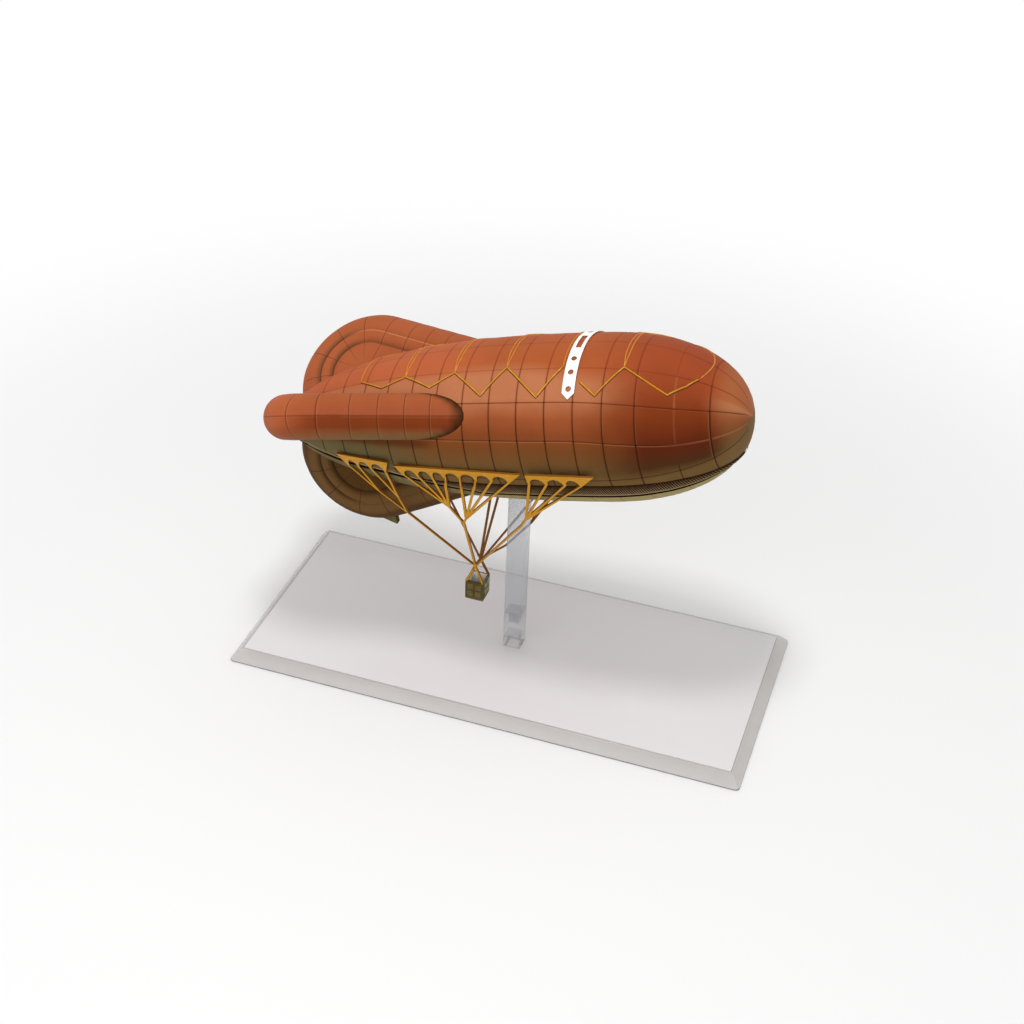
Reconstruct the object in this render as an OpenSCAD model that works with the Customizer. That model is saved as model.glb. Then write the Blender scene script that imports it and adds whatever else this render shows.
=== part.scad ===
// Model observation balloon on a clear peg stand, about 1/144 of the full size.
// X runs towards the nose, Y away from the side that shows, Z up, from the centre of the stand's underside.

/* [Stand] */
// Length of the base plate
base_l = 198; // [150:1:260]
// Width of the base plate
base_w = 88.5; // [70:0.5:130]
// Thickness of the base plate
base_t = 4.6; // [3.6:0.1:8]
// How far the bevel runs in from the plate's edge
bevel_run = 3.4; // [1:0.1:6]
// Height of the upright edge under the bevel
edge_h = 0.6; // [0.2:0.1:1.5]
// Radius of the plate's corners in plan
corner_r = 1.6; // [0.5:0.1:6]
// Flat rim between the bevel and the card
rim_flat = 0.8; // [0.4:0.1:4]
// Thickness of the printed card
card_t = 0.4; // [0.2:0.1:1]
// Gap between the card and the edge of its recess
card_gap = 0.1; // [0.05:0.05:0.5]
// Thickness of plastic left under the peg hole
hole_floor = 0.6; // [0.4:0.1:1.5]

/* [Pegs] */
// Side of the square pegs
peg_w = 6.8; // [5:0.1:9]
// Height of the lowest peg, from the bottom of its hole
foot_peg_h = 8; // [7:0.1:20]
// Height of the short peg between its joints
short_peg_h = 11.7; // [8:0.1:30]
// Height of the tall peg between its joints
tall_peg_h = 55.4; // [35:0.1:90]
// Side of the square plugs that join the pegs
plug_w = 3.8; // [2.5:0.1:3.9]
// Length of the plugs
plug_l = 4.4; // [3:0.1:6]
// Gap on each side of a plug
plug_gap = 0.1; // [0.05:0.01:0.1]
// Gap below the end of a plug
plug_end_gap = 0.5; // [0.2:0.1:1]

/* [Envelope] */
// Length of the envelope from nose to tail
env_l = 177.2; // [150:0.2:210]
// Greatest diameter of the envelope
env_d = 59; // [50:0.5:66]
// Length of the rounded nose up to the greatest diameter
nose_l = 51.2; // [40:0.2:60]
// How far the nose lies ahead of the stand's pegs
fore_l = 82.6; // [70:0.2:90]
// Nose-up tilt of the envelope in degrees
pitch = 13.6; // [0:0.1:18]
// Wall of the two moulded shells
wall = 1.6; // [1.2:0.1:2.4]
// How far the belly shell lies inside the upper one
belly_step = 0.3; // [0.1:0.05:0.5]
// Depth of the parting line below the axis, under the middle
belly_drop = 16.5; // [12:0.1:20]
// Depth of the parting line below the axis, at the tail
tail_drop = 3.2; // [2:0.1:6]
// Diameter of the locating pins between the shells
pin_d = 3; // [2:0.1:4]
// Gap round each locating pin
pin_gap = 0.1; // [0.05:0.05:0.2]

/* [Tail lobes] */
// Thickness of a lobe over its rim
lobe_t = 16.2; // [12:0.1:18]
// Distance from the envelope's axis to the centre of a side lobe's round end
lobe_centre = 16.9; // [14:0.1:20]
// The same distance for the rudder lobe
rudder_centre = 15.2; // [13:0.1:20]
// Radius of the rim's centre line round the end of a lobe
lobe_r = 18.3; // [14:0.1:22]
// Distance from the nose to the centre of the lobes' round ends
lobe_back = 147; // [130:0.5:150]
// Slope in degrees of a lobe's leading edge
lobe_slope = 16.7; // [12:0.1:22]
// Angle in degrees between the rudder lobe and each side lobe
lobe_spread = 121; // [120:0.5:125]
// Step in from the rim's crown to the second ring's crown
ring_step = 2.6; // [2.4:0.1:4]
// Half thickness of the flat middle of a lobe
lobe_flat = 6.9; // [5:0.1:7.4]
// Length of the air scoop under the rudder lobe
scoop_l = 6.6; // [5:0.1:12]
// Width of the air scoop
scoop_w = 2.6; // [2:0.1:8]
// Depth of the air scoop's mouth below the rudder's edge
scoop_h = 3.4; // [2.5:0.1:5]

/* [Raised work] */
// Diameter of the moulded girdle cords
cord_d = 0.8; // [0.5:0.05:1.2]
// Gap between a double girdle cord's two lines
cord_pair = 0.7; // [0.3:0.1:1.5]
// Distance from the nose to the middle of the white strip
strip_back = 55.4; // [54:0.1:62]
// Width of the white strip
strip_w = 4.4; // [3:0.1:7]
// Thickness of the white strip
strip_t = 0.35; // [0.2:0.05:0.6]
// Height of the laced band above the parting line, under the middle
lacing_h = 5.5; // [4:0.1:7]
// Thickness of the laced band
lacing_t = 0.35; // [0.2:0.05:0.6]

/* [Rigging] */
// Thickness of the rigging webs
web_t = 0.8; // [0.7:0.05:1.3]
// Clearance between a web and the envelope or laced band
web_lift = 0.1; // [0:0.05:0.3]
// Width of a web's legs
leg_w = 0.95; // [0.8:0.05:1.3]
// Depth of the solid band along a web's top edge
band_h = 2; // [1.4:0.1:3]
// Diameter of the knot where the lines of one side meet
knot_d = 3.2; // [3:0.1:4]
// Half distance between the two knots
knot_y = 2.56; // [2.2:0.01:3]
// Height of the knots above the basket's rim
knot_up = 7.1; // [5:0.1:12]
// Diameter of the basket's slings
sling_d = 1; // [0.7:0.05:1.2]

/* [Basket] */
// Side of the square basket
basket_w = 7.2; // [6.5:0.1:9]
// Height of the basket
basket_h = 8.2; // [6.5:0.1:11]
// Wall of the basket
basket_wall = 0.7; // [0.5:0.05:0.9]
// Height of the basket's rim above the ground
basket_z = 31.6; // [26:0.1:40]
// How far the basket hangs behind the pegs
basket_back = 15.5; // [13:0.1:22]
// Height of the raised squares on the basket's walls
panel_t = 0.25; // [0.1:0.05:0.4]

/* [Hidden] */
$fn = 64;

// Fine points of the outlines
nose_steps = 14;
tail_steps = 26;
nose_power = 2.21;
tail_power = 2.5;
tail_close = 0.6;
far = 400;

// Heights of the joints in the stack of pegs
foot_z = hole_floor;
joint_1_z = foot_z + foot_peg_h;
joint_2_z = joint_1_z + short_peg_h;
seat_z = joint_2_z + tall_peg_h;
socket_w = plug_w + 2 * plug_gap;
socket_l = plug_l + plug_end_gap;

// The envelope's own frame has its origin where its axis crosses the line of the pegs
env_r = env_d / 2;
aft_l = env_l - fore_l;
seat_lip = 0.2;
post_r = radius_at(0);
axis_z = seat_z + post_r / cos(pitch) + peg_w / 2 * tan(pitch) + seat_lip;
side_lobe_turn = 180 - lobe_spread;

// Stations of the lobes and of the pins between the shells, which stand where the parting line is level
lobe_x = fore_l - lobe_back;
level_fore = 36;
level_aft = 93;
pin_stations = [fore_l - level_aft + 2.4, fore_l - level_fore - 12.6];
pin_l = 3.5;
pin_wall = 1.2;
boss_d = pin_d + 2 * (pin_gap + pin_wall);
stud_d = 3;
stud_gap = 0.1;
stud_l = 4.5;
stud_stations = [lobe_x + 4, lobe_x + 24];

clear = [0.78, 0.8, 0.83, 0.45];
terracotta = [0.72, 0.36, 0.24];
olive = [0.38, 0.31, 0.17];
gold = [0.83, 0.58, 0.14];

// Radius of the envelope at a distance x ahead of the pegs' line, less an inset
function radius_at(x, inset = 0) =
    let (tip = fore_l - inset, shoulder = fore_l - nose_l, tail = inset - aft_l, r = env_r - inset)
    x >= tip || x <= tail ? 0 :
    x > shoulder ? r * pow(1 - pow((x - shoulder) / (tip - shoulder), nose_power), 1 / nose_power) :
    r * pow(1 - pow((shoulder - x) / (shoulder - tail), tail_power), tail_close);

// Half outline of the envelope, as points of distance along the axis and radius
function envelope_points(inset = 0) =
    let (tip = fore_l - inset, shoulder = fore_l - nose_l, tail = inset - aft_l)
    concat(
        [for (i = [0:tail_steps]) let (x = tail + (shoulder - tail) * (1 - cos(90 * i / tail_steps)))
            [radius_at(x, inset), x]],
        [for (i = [1:nose_steps])
            let (x = shoulder + (tip - shoulder) * pow(sin(90 * i / nose_steps), 2 / nose_power))
            [radius_at(x, inset), x]]
    );

// The parting line between the shells in side view, from nose to tail, as distance and height
parting_points = [
    [far, -belly_drop + 4.5], [fore_l - 8, -belly_drop + 3.4], [fore_l - 15, -belly_drop + 2],
    [fore_l - 25, -belly_drop + 0.7], [fore_l - level_fore, -belly_drop], [fore_l - level_aft, -belly_drop],
    [fore_l - 127, -belly_drop * 0.54], [fore_l - 150, -tail_drop - 2.6], [fore_l - 162, -tail_drop],
    [-far, -tail_drop],
];

function unit(v) = v / norm(v);
function side(v) = [-v.y, v.x];
// Where two lines meet after each is moved sideways by its own amount
function meet(a, b, da, c, d, dc) =
    let (u = unit(b - a), w = unit(d - c), p = a + side(u) * da, q = c + side(w) * dc, g = q - p)
    p + u * (g.x * w.y - g.y * w.x) / (u.x * w.y - u.y * w.x);
// A point on the envelope's own frame, at distance x, radius r and angle a above the side
function around(x, r, a, way = -1) = [x, way * r * cos(a), r * sin(a)];
// The envelope's own frame turned into the stand's
function to_stand(p) = [
    p.x * cos(pitch) - p.z * sin(pitch), p.y, axis_z + p.x * sin(pitch) + p.z * cos(pitch)];
function to_envelope(p) = let (z = p.z - axis_z) [
    p.x * cos(pitch) + z * sin(pitch), p.y, z * cos(pitch) - p.x * sin(pitch)];

module in_envelope() {
    translate([0, 0, axis_z]) rotate([0, -pitch, 0]) children();
}

module envelope_solid(inset = 0) {
    rotate([0, 90, 0]) rotate_extrude() polygon(envelope_points(inset));
}

// Everything below the parting line
module below_parting() {
    rotate([90, 0, 0]) linear_extrude(height = 2 * env_d, center = true)
        polygon(concat(parting_points, [[-far, -far], [far, -far]]));
}

module above_parting() {
    rotate([90, 0, 0]) linear_extrude(height = 2 * env_d, center = true)
        polygon(concat(parting_points, [[-far, far], [far, far]]));
}

module box(w, l, h) {
    translate([-w / 2, -l / 2, 0]) cube([w, l, h]);
}

// Stand

function rounded(l, w, r) = [
    for (q = [[1, 1, 0], [-1, 1, 90], [-1, -1, 180], [1, -1, 270]], a = [0, 30, 60, 90])
        [q.x * (l / 2 - r) + r * cos(q.z + a), q.y * (w / 2 - r) + r * sin(q.z + a)]
];

// A slab's cross-section with bevelled upper edges
module bevel_section(w) {
    polygon([
        [-w / 2, 0], [w / 2, 0], [w / 2, edge_h], [w / 2 - bevel_run, base_t],
        [bevel_run - w / 2, base_t], [-w / 2, edge_h],
    ]);
}

card_l = base_l - 2 * (bevel_run + rim_flat + card_gap);
card_w = base_w - 2 * (bevel_run + rim_flat + card_gap);

module base_plate() {
    color(clear) difference() {
        intersection() {
            rotate([90, 0, 0]) linear_extrude(height = base_w, center = true) bevel_section(base_l);
            rotate([90, 0, 90]) linear_extrude(height = base_l, center = true) bevel_section(base_w);
            linear_extrude(height = base_t) polygon(rounded(base_l, base_w, corner_r));
        }
        translate([0, 0, base_t - card_t])
            linear_extrude(height = card_t + 1)
                square([card_l + 2 * card_gap, card_w + 2 * card_gap], center = true);
        translate([0, 0, foot_z]) box(peg_w, peg_w, base_t);
    }
}

module base_card() {
    color("gainsboro") translate([0, 0, base_t - card_t]) linear_extrude(height = card_t) difference() {
        square([card_l, card_w], center = true);
        square(peg_w + 2 * card_gap, center = true);
    }
}

// A square peg with a socket in its top and, above the lowest one, a plug below
module peg(z, h, plug = true, socket = true) {
    translate([0, 0, z]) {
        difference() {
            box(peg_w, peg_w, h);
            if (socket) translate([0, 0, h - socket_l]) box(socket_w, socket_w, socket_l + 1);
        }
        if (plug) translate([0, 0, -plug_l]) box(plug_w, plug_w, plug_l);
    }
}

module foot_peg() {
    color(clear) peg(foot_z, foot_peg_h, plug = false);
}

module short_peg() {
    color(clear) peg(joint_1_z, short_peg_h);
}

module tall_peg() {
    color(clear) {
        peg(joint_2_z, tall_peg_h, socket = false);
        translate([0, 0, seat_z]) box(plug_w, plug_w, plug_l);
    }
}

// Envelope shells

// How far a pin stands from the middle, so that the end of its hole stays inside the belly's wall
function pin_side(x) =
    sqrt(pow(radius_at(x) - wall, 2) - pow(belly_drop + pin_l + pin_gap, 2)) - pin_d / 2 - pin_gap;

// Four pins stand on bosses inside the upper shell and enter the belly shell's bosses
module at_pins() {
    for (x = pin_stations, way = [-1, 1])
        translate([x, way * pin_side(x), -belly_drop]) children();
}

module pin_bosses() {
    intersection() {
        for (x = pin_stations, way = [-1, 1])
            translate([x - boss_d / 2, 0, -belly_drop - pin_l - pin_wall])
                translate([0, way > 0 ? pin_side(x) - boss_d / 2 : -env_r, 0])
                    cube([boss_d, env_r - pin_side(x) + boss_d / 2, 2 * (pin_l + pin_wall)]);
        envelope_solid(wall / 2);
    }
}

// Studs that plug each lobe into the shells, drawn along the lobe's own direction
module studs(d, l) {
    for (x = stud_stations)
        translate([x, 0, radius_at(x) - l]) cylinder(d = d, h = l + lobe_flat / 2);
}

module lobe_turns() {
    rotate([side_lobe_turn, 0, 0]) children();
    rotate([-side_lobe_turn, 0, 0]) children();
    rotate([180, 0, 0]) children();
}

module upper_shell() {
    color(terracotta) in_envelope() {
        difference() {
            union() {
                difference() {
                    envelope_solid();
                    envelope_solid(wall);
                }
                pin_bosses();
            }
            below_parting();
            lobe_turns() studs(stud_d + 2 * stud_gap, stud_l + 1);
        }
        at_pins() translate([0, 0, -pin_l]) cylinder(d = pin_d, h = pin_l);
    }
}

module belly_shell() {
    color(olive) in_envelope() difference() {
        union() {
            difference() {
                envelope_solid(belly_step);
                envelope_solid(wall);
            }
            pin_bosses();
        }
        above_parting();
        at_pins() translate([0, 0, -pin_l - pin_gap]) cylinder(d = pin_d + 2 * pin_gap, h = pin_l + 1);
        rotate([180, 0, 0]) studs(stud_d + 2 * stud_gap, stud_l + 1);
        rotate([0, pitch, 0]) translate([0, 0, -axis_z]) box(peg_w, peg_w, axis_z);
    }
}

// Square block inside the belly that takes the tall peg's upper plug
module stand_socket() {
    color(clear) difference() {
        translate([0, 0, seat_z]) box(peg_w, peg_w, plug_l + 5);
        translate([0, 0, seat_z - 1]) box(socket_w, socket_w, socket_l + 1);
    }
}

// Tail lobes

lobe_turn = 150;
lobe_run = 62;
ring_drop = 0.2;

// Half height of a lobe's section at a distance from its centre: flat middle, second ring, then rim
function lobe_height(u) =
    let (rim = lobe_t / 2, ring = rim - ring_drop, a = u - lobe_r, b = u - lobe_r + ring_step)
    max(
        abs(a) < rim ? sqrt(rim * rim - a * a) : 0,
        abs(b) < ring ? sqrt(ring * ring - b * b) : 0,
        u < lobe_r ? lobe_flat : 0
    );

ring_edge = lobe_r - ring_step - sqrt(pow(lobe_t / 2 - ring_drop, 2) - lobe_flat * lobe_flat);
ring_meet = lobe_r - (ring_drop * (lobe_t - ring_drop) + ring_step * ring_step) / (2 * ring_step);
lobe_stops = concat(
    [0, ring_edge],
    [for (i = [1:3]) ring_edge + (ring_meet - ring_edge) * i / 4],
    [ring_meet],
    [for (i = [0:10]) lobe_r + lobe_t / 2 * sin(i * 9)]
);

module lobe_section() {
    top = [for (u = lobe_stops) [u, lobe_height(u)]];
    n = len(top);
    polygon(concat(top, [for (i = [n - 2:-1:0]) [top[i].x, -top[i].y]]));
}

// A lobe standing up from the axis: the round end is turned, the leading part runs straight
module lobe_form(centre = lobe_centre) {
    translate([lobe_x, 0, centre]) rotate([90, 0, 0]) {
        rotate([0, 0, 90 - lobe_slope]) rotate_extrude(angle = lobe_turn) lobe_section();
        rotate([0, 0, -lobe_slope]) rotate([90, 0, 90]) linear_extrude(height = lobe_run) lobe_section();
    }
}

// The three lobes meet face to face on planes through the axis
module lobe_wedge(half_a, half_b) {
    rotate([90, 0, 90]) linear_extrude(height = far, center = true)
        polygon([
            [0, 0], [far * sin(half_a), far * cos(half_a)],
            [0, far], [-far * sin(half_b), far * cos(half_b)],
        ]);
}

module lobe(half_a, half_b, centre = lobe_centre, inset = 0) {
    difference() {
        intersection() {
            lobe_form(centre);
            lobe_wedge(half_a, half_b);
        }
        envelope_solid(inset);
    }
    studs(stud_d, stud_l);
}

half_gap = lobe_spread / 2;

module right_lobe() {
    color(terracotta) in_envelope() rotate([side_lobe_turn, 0, 0]) lobe(side_lobe_turn, half_gap);
}

module left_lobe() {
    color(terracotta) in_envelope() rotate([-side_lobe_turn, 0, 0]) lobe(half_gap, side_lobe_turn);
}

module rudder_lobe() {
    color(olive) difference() {
        in_envelope() rotate([180, 0, 0]) lobe(half_gap, half_gap, rudder_centre, belly_step);
        box(peg_w + 2 * plug_gap, peg_w + 2 * plug_gap, axis_z);
    }
}

// Wedge-shaped scoop under the rudder, open towards the nose
module air_scoop() {
    edge = rudder_centre + lobe_r + lobe_t / 2;
    root = edge - 4;
    skin = 0.5;
    back = 2;
    color(olive) in_envelope() rotate([180, 0, 0]) difference() {
        translate([lobe_x - back, 0, 0]) rotate([90, 0, 0]) difference() {
            linear_extrude(height = scoop_w, center = true)
                polygon([[0, root], [scoop_l, root], [scoop_l, edge + scoop_h], [0, edge]]);
            linear_extrude(height = scoop_w - 2 * skin, center = true) polygon([
                [back, root - skin], [far, root - skin], [far, edge + scoop_h - skin],
                [scoop_l, edge + scoop_h - skin], [back, edge],
            ]);
        }
        lobe_form(rudder_centre);
    }
}

// Raised work on the envelope

strip_ends = 41;
spot_angles = [48, 60, 71];
spot_d = strip_w * 0.45;
slot_l = 8.6;

// White strip over the back, with pointed ends, a slot in the middle and three round holes on each side
module rip_strip() {
    r = radius_at(fore_l - strip_back);
    color("white") in_envelope() translate([fore_l - strip_back, 0, 0]) difference() {
        rotate([90, 0, 90]) rotate([0, 0, strip_ends]) rotate_extrude(angle = 180 - 2 * strip_ends)
            translate([r, -strip_w / 2]) square([strip_t, strip_w]);
        box(spot_d, slot_l, env_d);
        for (way = [-1, 1]) {
            for (a = spot_angles)
                rotate([way * (a - 90), 0, 0]) cylinder(d = spot_d, h = env_d);
            rotate([way * (strip_ends - 90), 0, 0]) linear_extrude(height = env_d) for (t = [-1, 1])
                polygon([[0, way], [0, 0], [t * strip_w, -way * strip_w], [t * strip_w, way]]);
        }
    }
}

// Band of lacing above the parting line, from the nose back to where the line has risen to its top
lacing_z = lacing_h - belly_drop;
lacing_aft = parting_points[5].x
    + (parting_points[6].x - parting_points[5].x) * lacing_h / (parting_points[6].y + belly_drop);

module lacing(way) {
    color(olive) in_envelope() intersection() {
        difference() {
            envelope_solid(-lacing_t);
            envelope_solid();
        }
        translate([0, way > 0 ? 0 : -env_d, 0]) rotate([90, 0, 0]) mirror([0, 0, 1])
            linear_extrude(height = env_d) polygon(concat(
                [for (i = [1:5]) parting_points[i]],
                [[lacing_aft, lacing_z], [parting_points[1].x, lacing_z]]
            ));
    }
}

module right_lacing() {
    lacing(-1);
}

module left_lacing() {
    lacing(1);
}

// Girdle of cords round the upper side: the route's corners, as distance behind the nose and angle
// above the side, in two runs, because the white strip lies over the place between them
girdle_aft = [
    [137.4, 65.6], [127.4, 55.8], [118.2, 63.8], [107.4, 52.6], [98.6, 63.6],
    [87.3, 44.8], [79.1, 65.6], [66.8, 43], [58.7, 65],
];
girdle_fore = [[52.2, 54], [46.1, 43.6], [37.4, 64.8], [22.4, 46], [17, 54.9], [13.3, 65.5]];
cord_seat = 0.06;
cord_sides = 6;
cord_steps = 4;

// Points every quarter of the way between a run's corners, laid on the envelope
function cord_points(run, way = -1) = [
    for (i = [0:len(run) - 2], k = [0:cord_steps - 1])
        cord_at(run[i] + (run[i + 1] - run[i]) * k / cord_steps, way),
    cord_at(run[len(run) - 1], way),
];
function cord_at(p, way) =
    let (x = fore_l - p.x) around(x, radius_at(x) + cord_d / 2 + cord_seat, p.y, way);

module cord(points) {
    n = len(points);
    rings = [
        for (i = [0:n - 1])
            let (t = unit(points[min(i + 1, n - 1)] - points[max(i - 1, 0)]),
                up = unit(cross(t, cross([0, points[i].y, points[i].z], t))), over = cross(t, up))
            for (k = [0:cord_sides - 1])
                let (a = 360 * k / cord_sides) points[i] + cord_d / 2 * (cos(a) * up + sin(a) * over)
    ];
    skin = [
        for (i = [0:n - 2], k = [0:cord_sides - 1])
            let (a = i * cord_sides + k, b = i * cord_sides + (k + 1) % cord_sides)
            each [[a, a + cord_sides, b], [b, a + cord_sides, b + cord_sides]]
    ];
    ends = [
        for (k = [1:cord_sides - 2])
            let (z = (n - 1) * cord_sides) each [[0, k, k + 1], [z, z + k + 1, z + k]]
    ];
    polyhedron(rings, concat(skin, ends));
}

module girdle(way) {
    color(gold) in_envelope() {
        cord(cord_points(girdle_aft, way));
        cord(cord_points(girdle_fore, way));
    }
}

module right_girdle() {
    girdle(-1);
}

module left_girdle() {
    girdle(1);
}

// Cords over the back between the girdle's upper corners, and whether each is double
straps = [
    [girdle_aft[0], 0], [girdle_aft[2], 1], [girdle_aft[4], 1], [girdle_aft[6], 1],
    [girdle_aft[8], 0], [girdle_fore[2], 1],
];
strap_gap = 1.8;
// The foremost cord bows forward over the nose
bow_back = 10.8;
bow_bend = 0.0042;
bow_start = girdle_fore[5].y + 2 * strap_gap;
bow = [for (i = [-1:0.5:1]) let (a = i * (90 - bow_start)) [bow_back + bow_bend * a * a, 90 - a]];

module top_girdle() {
    color(gold) in_envelope() cord(cord_points(bow));
    color(gold) in_envelope() for (s = straps, t = s[1] > 0 ? [-0.5, 0.5] : [0]) {
        x = fore_l - s[0].x + t * (cord_d + cord_pair);
        start = s[0].y + strap_gap;
        translate([x, 0, 0]) rotate([90, 0, 90]) rotate([0, 0, start]) rotate_extrude(angle = 180 - 2 * start)
                translate([radius_at(x) + cord_d / 2 + cord_seat, 0]) circle(d = cord_d, $fn = 24);
    }
}

// Rigging: each web hangs in a plane that touches the envelope's side and passes through its knot

knot = [-basket_back, -knot_y, basket_z + knot_up];
lead_w = 0.8;
// Height of a slot's arched top as a share of the slot's mean width
arch_rise = 0.68;

function touch(x, proud) =
    let (k = to_envelope(knot), r = radius_at(x) + proud + web_t / 2 + web_lift,
        a = asin(r / norm([k.y, k.z])) - atan2(-k.y, -k.z))
    to_stand([x, -r * cos(a), -r * sin(a)]);

// A web's data: distances behind the nose where its plane touches, then places in its fan, each as a share
// of the way across and up from the knot: ends of the top edge, and leg tops across. Next come the groups of
// legs, with the number of legs and the points of the line that they join, and the point where the lines meet.
aft_web = [[148.6, 127.6], [[0.1, 1.05], [1.18, 1.13]], [0.04, 0.31, 0.62, 0.945],
    [[2, [[-0.055, 0.7]]], [2, [[0.485, 0.695]]]], [0, 0.51]];
mid_web = [[124.6, 74.6], [[0.05, 1.11], [0.89, 1.17]], [0.07, 0.18, 0.29, 0.385, 0.5, 0.615, 0.725, 0.845],
    [[4, [[0.32, 0.71]]], [4, [[0.487, 0.59]]]], [0.435, 0.53]];
fore_web = [[73.6, 48.6], [[-0.21, 1.19], [0.635, 1.175]], [-0.085, 0.15, 0.405, 0.625],
    [[4, [[0.375, 0.65]]]], [0.43, 0.575]];
// On the left side the lines take other ways down, and those of the middle and fore webs meet at the knot,
// each as far beside its middle as its third value says
left_aft_groups = [[2, [[0.2, 0.7]]], [2, [[0.6, 0.7]]]];
left_aft_apex = [0.43, 0.515];
left_mid_groups = [[4, [[0.474, 0.64]], 0], [4, [[0.603, 0.64]], 0.4]];
left_fore_groups = [[2, [[0.463, 0.61]], 0.9], [2, [[1.7, 0.25], [2.8, 0.097]], 0.9]];

// One side of the line through points q: w from the first stretch, v from the others
function side_line(q, w, v) = [for (i = [1:len(q) - 2])
    meet(q[i - 1], q[i], i == 1 ? w : v, q[i], q[i + 1], v)];
function reversed(q) = [for (i = [len(q) - 1:-1:0]) q[i]];

module web(data, groups, apex, proud) {
    a = touch(fore_l - data[0][0], proud);
    b = touch(fore_l - data[0][1], proud);
    ex = unit(b - a);
    n = unit(cross(ex, a - knot));
    ey = cross(n, ex);
    h = (a - knot) * ey;
    ax = (a - knot) * ex;
    bx = (b - knot) * ex;
    function fan(p) = [p.y * (ax + p.x * (bx - ax)), p.y * h];
    top = [for (p = data[1]) fan(p)];
    across = data[2];
    last = len(across) - 1;
    w = leg_w / 2;
    v = lead_w / 2;
    rise = arch_rise * (norm(fan([across[last] - across[0], 1]) - fan([0, 1])) / last - leg_w);
    function top_v(u) = let (p = data[1][0], q = data[1][1]) p.y + (q.y - p.y) * (u - p.x) / (q.x - p.x);
    tips = [for (u = across) fan([u, top_v(u) - (band_h + rise) / h])];
    // The line from each leg's top down to where the lines meet
    ends = [for (g = groups) is_undef(apex) ? [g[2], 0] : fan(apex)];
    group_of = [for (g = [0:len(groups) - 1], k = [1:groups[g][0]]) g];
    ways = [for (k = [0:last]) let (g = group_of[k])
        concat([tips[k]], [for (p = groups[g][1]) fan(p)], [ends[g]])];
    function end_of(k) = len(ways[k]) - 1;
    // The open slot between legs k and k + 1, with an arched top
    function slot(k) =
        let (l = tips[k] + [w, 0], r = tips[k + 1] - [w, 0], p = ways[k], q = ways[k + 1],
            arch = [for (t = [0:30:180]) (l + r) / 2 - (r - l) / 2 * cos(t) + [0, rise * sin(t)]],
            foot = group_of[k] == group_of[k + 1] ? [meet(q[0], q[1], -w, p[0], p[1], w)] : concat(
                side_line(q, -w, -v),
                [meet(q[end_of(k + 1) - 1], q[end_of(k + 1)], -v, p[end_of(k) - 1], p[end_of(k)], v)],
                reversed(side_line(p, w, v))))
        concat(arch, foot);
    fore_side = concat(side_line(ways[last], w, v),
        is_undef(apex) ? [] : [meet(ways[last][end_of(last) - 1], fan(apex), v, fan(apex), [0, 0], v)]);
    aft_side = concat(side_line(ways[0], -w, -v),
        is_undef(apex) ? [] : [meet(ways[0][end_of(0) - 1], fan(apex), -v, fan(apex), [0, 0], -v)]);
    foot = is_undef(apex) ? ends : [[0, 0]];
    outline = concat([top[0], top[1], tips[last] + [w, 0]], fore_side,
        [foot[len(foot) - 1] + [v, 0], foot[0] - [v, 0]],
        reversed(aft_side), [tips[0] - [w, 0]]);
    slots = [for (k = [0:last - 1]) slot(k)];
    color(gold) difference() {
        multmatrix([for (i = [0:2]) [ex[i], ey[i], n[i], knot[i]]])
            linear_extrude(height = web_t, center = true) difference() {
                polygon(outline);
                for (s = slots) polygon(s);
            }
        in_envelope() envelope_solid(-proud - web_lift);
        translate(knot) sphere(d = knot_d);
    }
}

module right_aft_web() {
    web(aft_web, aft_web[3], aft_web[4], 0);
}

module right_mid_web() {
    web(mid_web, mid_web[3], mid_web[4], lacing_t);
}

module right_fore_web() {
    web(fore_web, fore_web[3], fore_web[4], lacing_t);
}

module left_aft_web() {
    mirror([0, 1, 0]) web(aft_web, left_aft_groups, left_aft_apex, 0);
}

module left_mid_web() {
    mirror([0, 1, 0]) web(mid_web, left_mid_groups, undef, lacing_t);
}

module left_fore_web() {
    mirror([0, 1, 0]) web(fore_web, left_fore_groups, undef, lacing_t);
}

module right_knot() {
    color(gold) translate(knot) sphere(d = knot_d);
}

module left_knot() {
    mirror([0, 1, 0]) right_knot();
}

// A round bar from one point to another
module rod(p, q, d) {
    v = q - p;
    translate(p) rotate([0, acos(v.z / norm(v)), atan2(v.y, v.x)]) cylinder(d = d, h = norm(v));
}

// Two slings from the knot to the basket's rim
module right_slings() {
    corner = (basket_w - basket_wall) / 2;
    color(gold) difference() {
        for (way = [-1, 1])
            rod(knot, [way * corner - basket_back, -corner, basket_z], sling_d);
        translate(knot) sphere(d = knot_d);
        translate([-basket_back, 0, basket_z - basket_h]) box(2 * basket_w, 2 * basket_w, basket_h);
    }
}

module left_slings() {
    mirror([0, 1, 0]) right_slings();
}

// Basket

panel_gap = 0.9;

// A wall of the basket standing in the XZ plane, with two rows of raised squares on its outer side
module basket_wall_form(l) {
    rise = basket_h - basket_wall;
    square_l = (l - 3 * panel_gap) / 2;
    square_h = (rise - 3 * panel_gap) / 2;
    translate([-l / 2, 0, 0]) cube([l, basket_wall, rise]);
    for (i = [0, 1], k = [0, 1])
        translate([i * (square_l + panel_gap), 0, k * (square_h + panel_gap)])
            translate([panel_gap - l / 2, -panel_t, panel_gap])
                cube([square_l, panel_t + basket_wall / 2, square_h]);
}

module at_basket_wall(turn, out) {
    color(olive) translate([-basket_back, 0, basket_z - basket_h + basket_wall])
        rotate([0, 0, turn]) translate([0, -out, 0]) children();
}

module basket_floor() {
    color(olive) translate([-basket_back, 0, basket_z - basket_h]) box(basket_w, basket_w, basket_wall);
}

module basket_right_wall() {
    at_basket_wall(0, basket_w / 2) basket_wall_form(basket_w);
}

module basket_left_wall() {
    at_basket_wall(180, basket_w / 2) basket_wall_form(basket_w);
}

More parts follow.
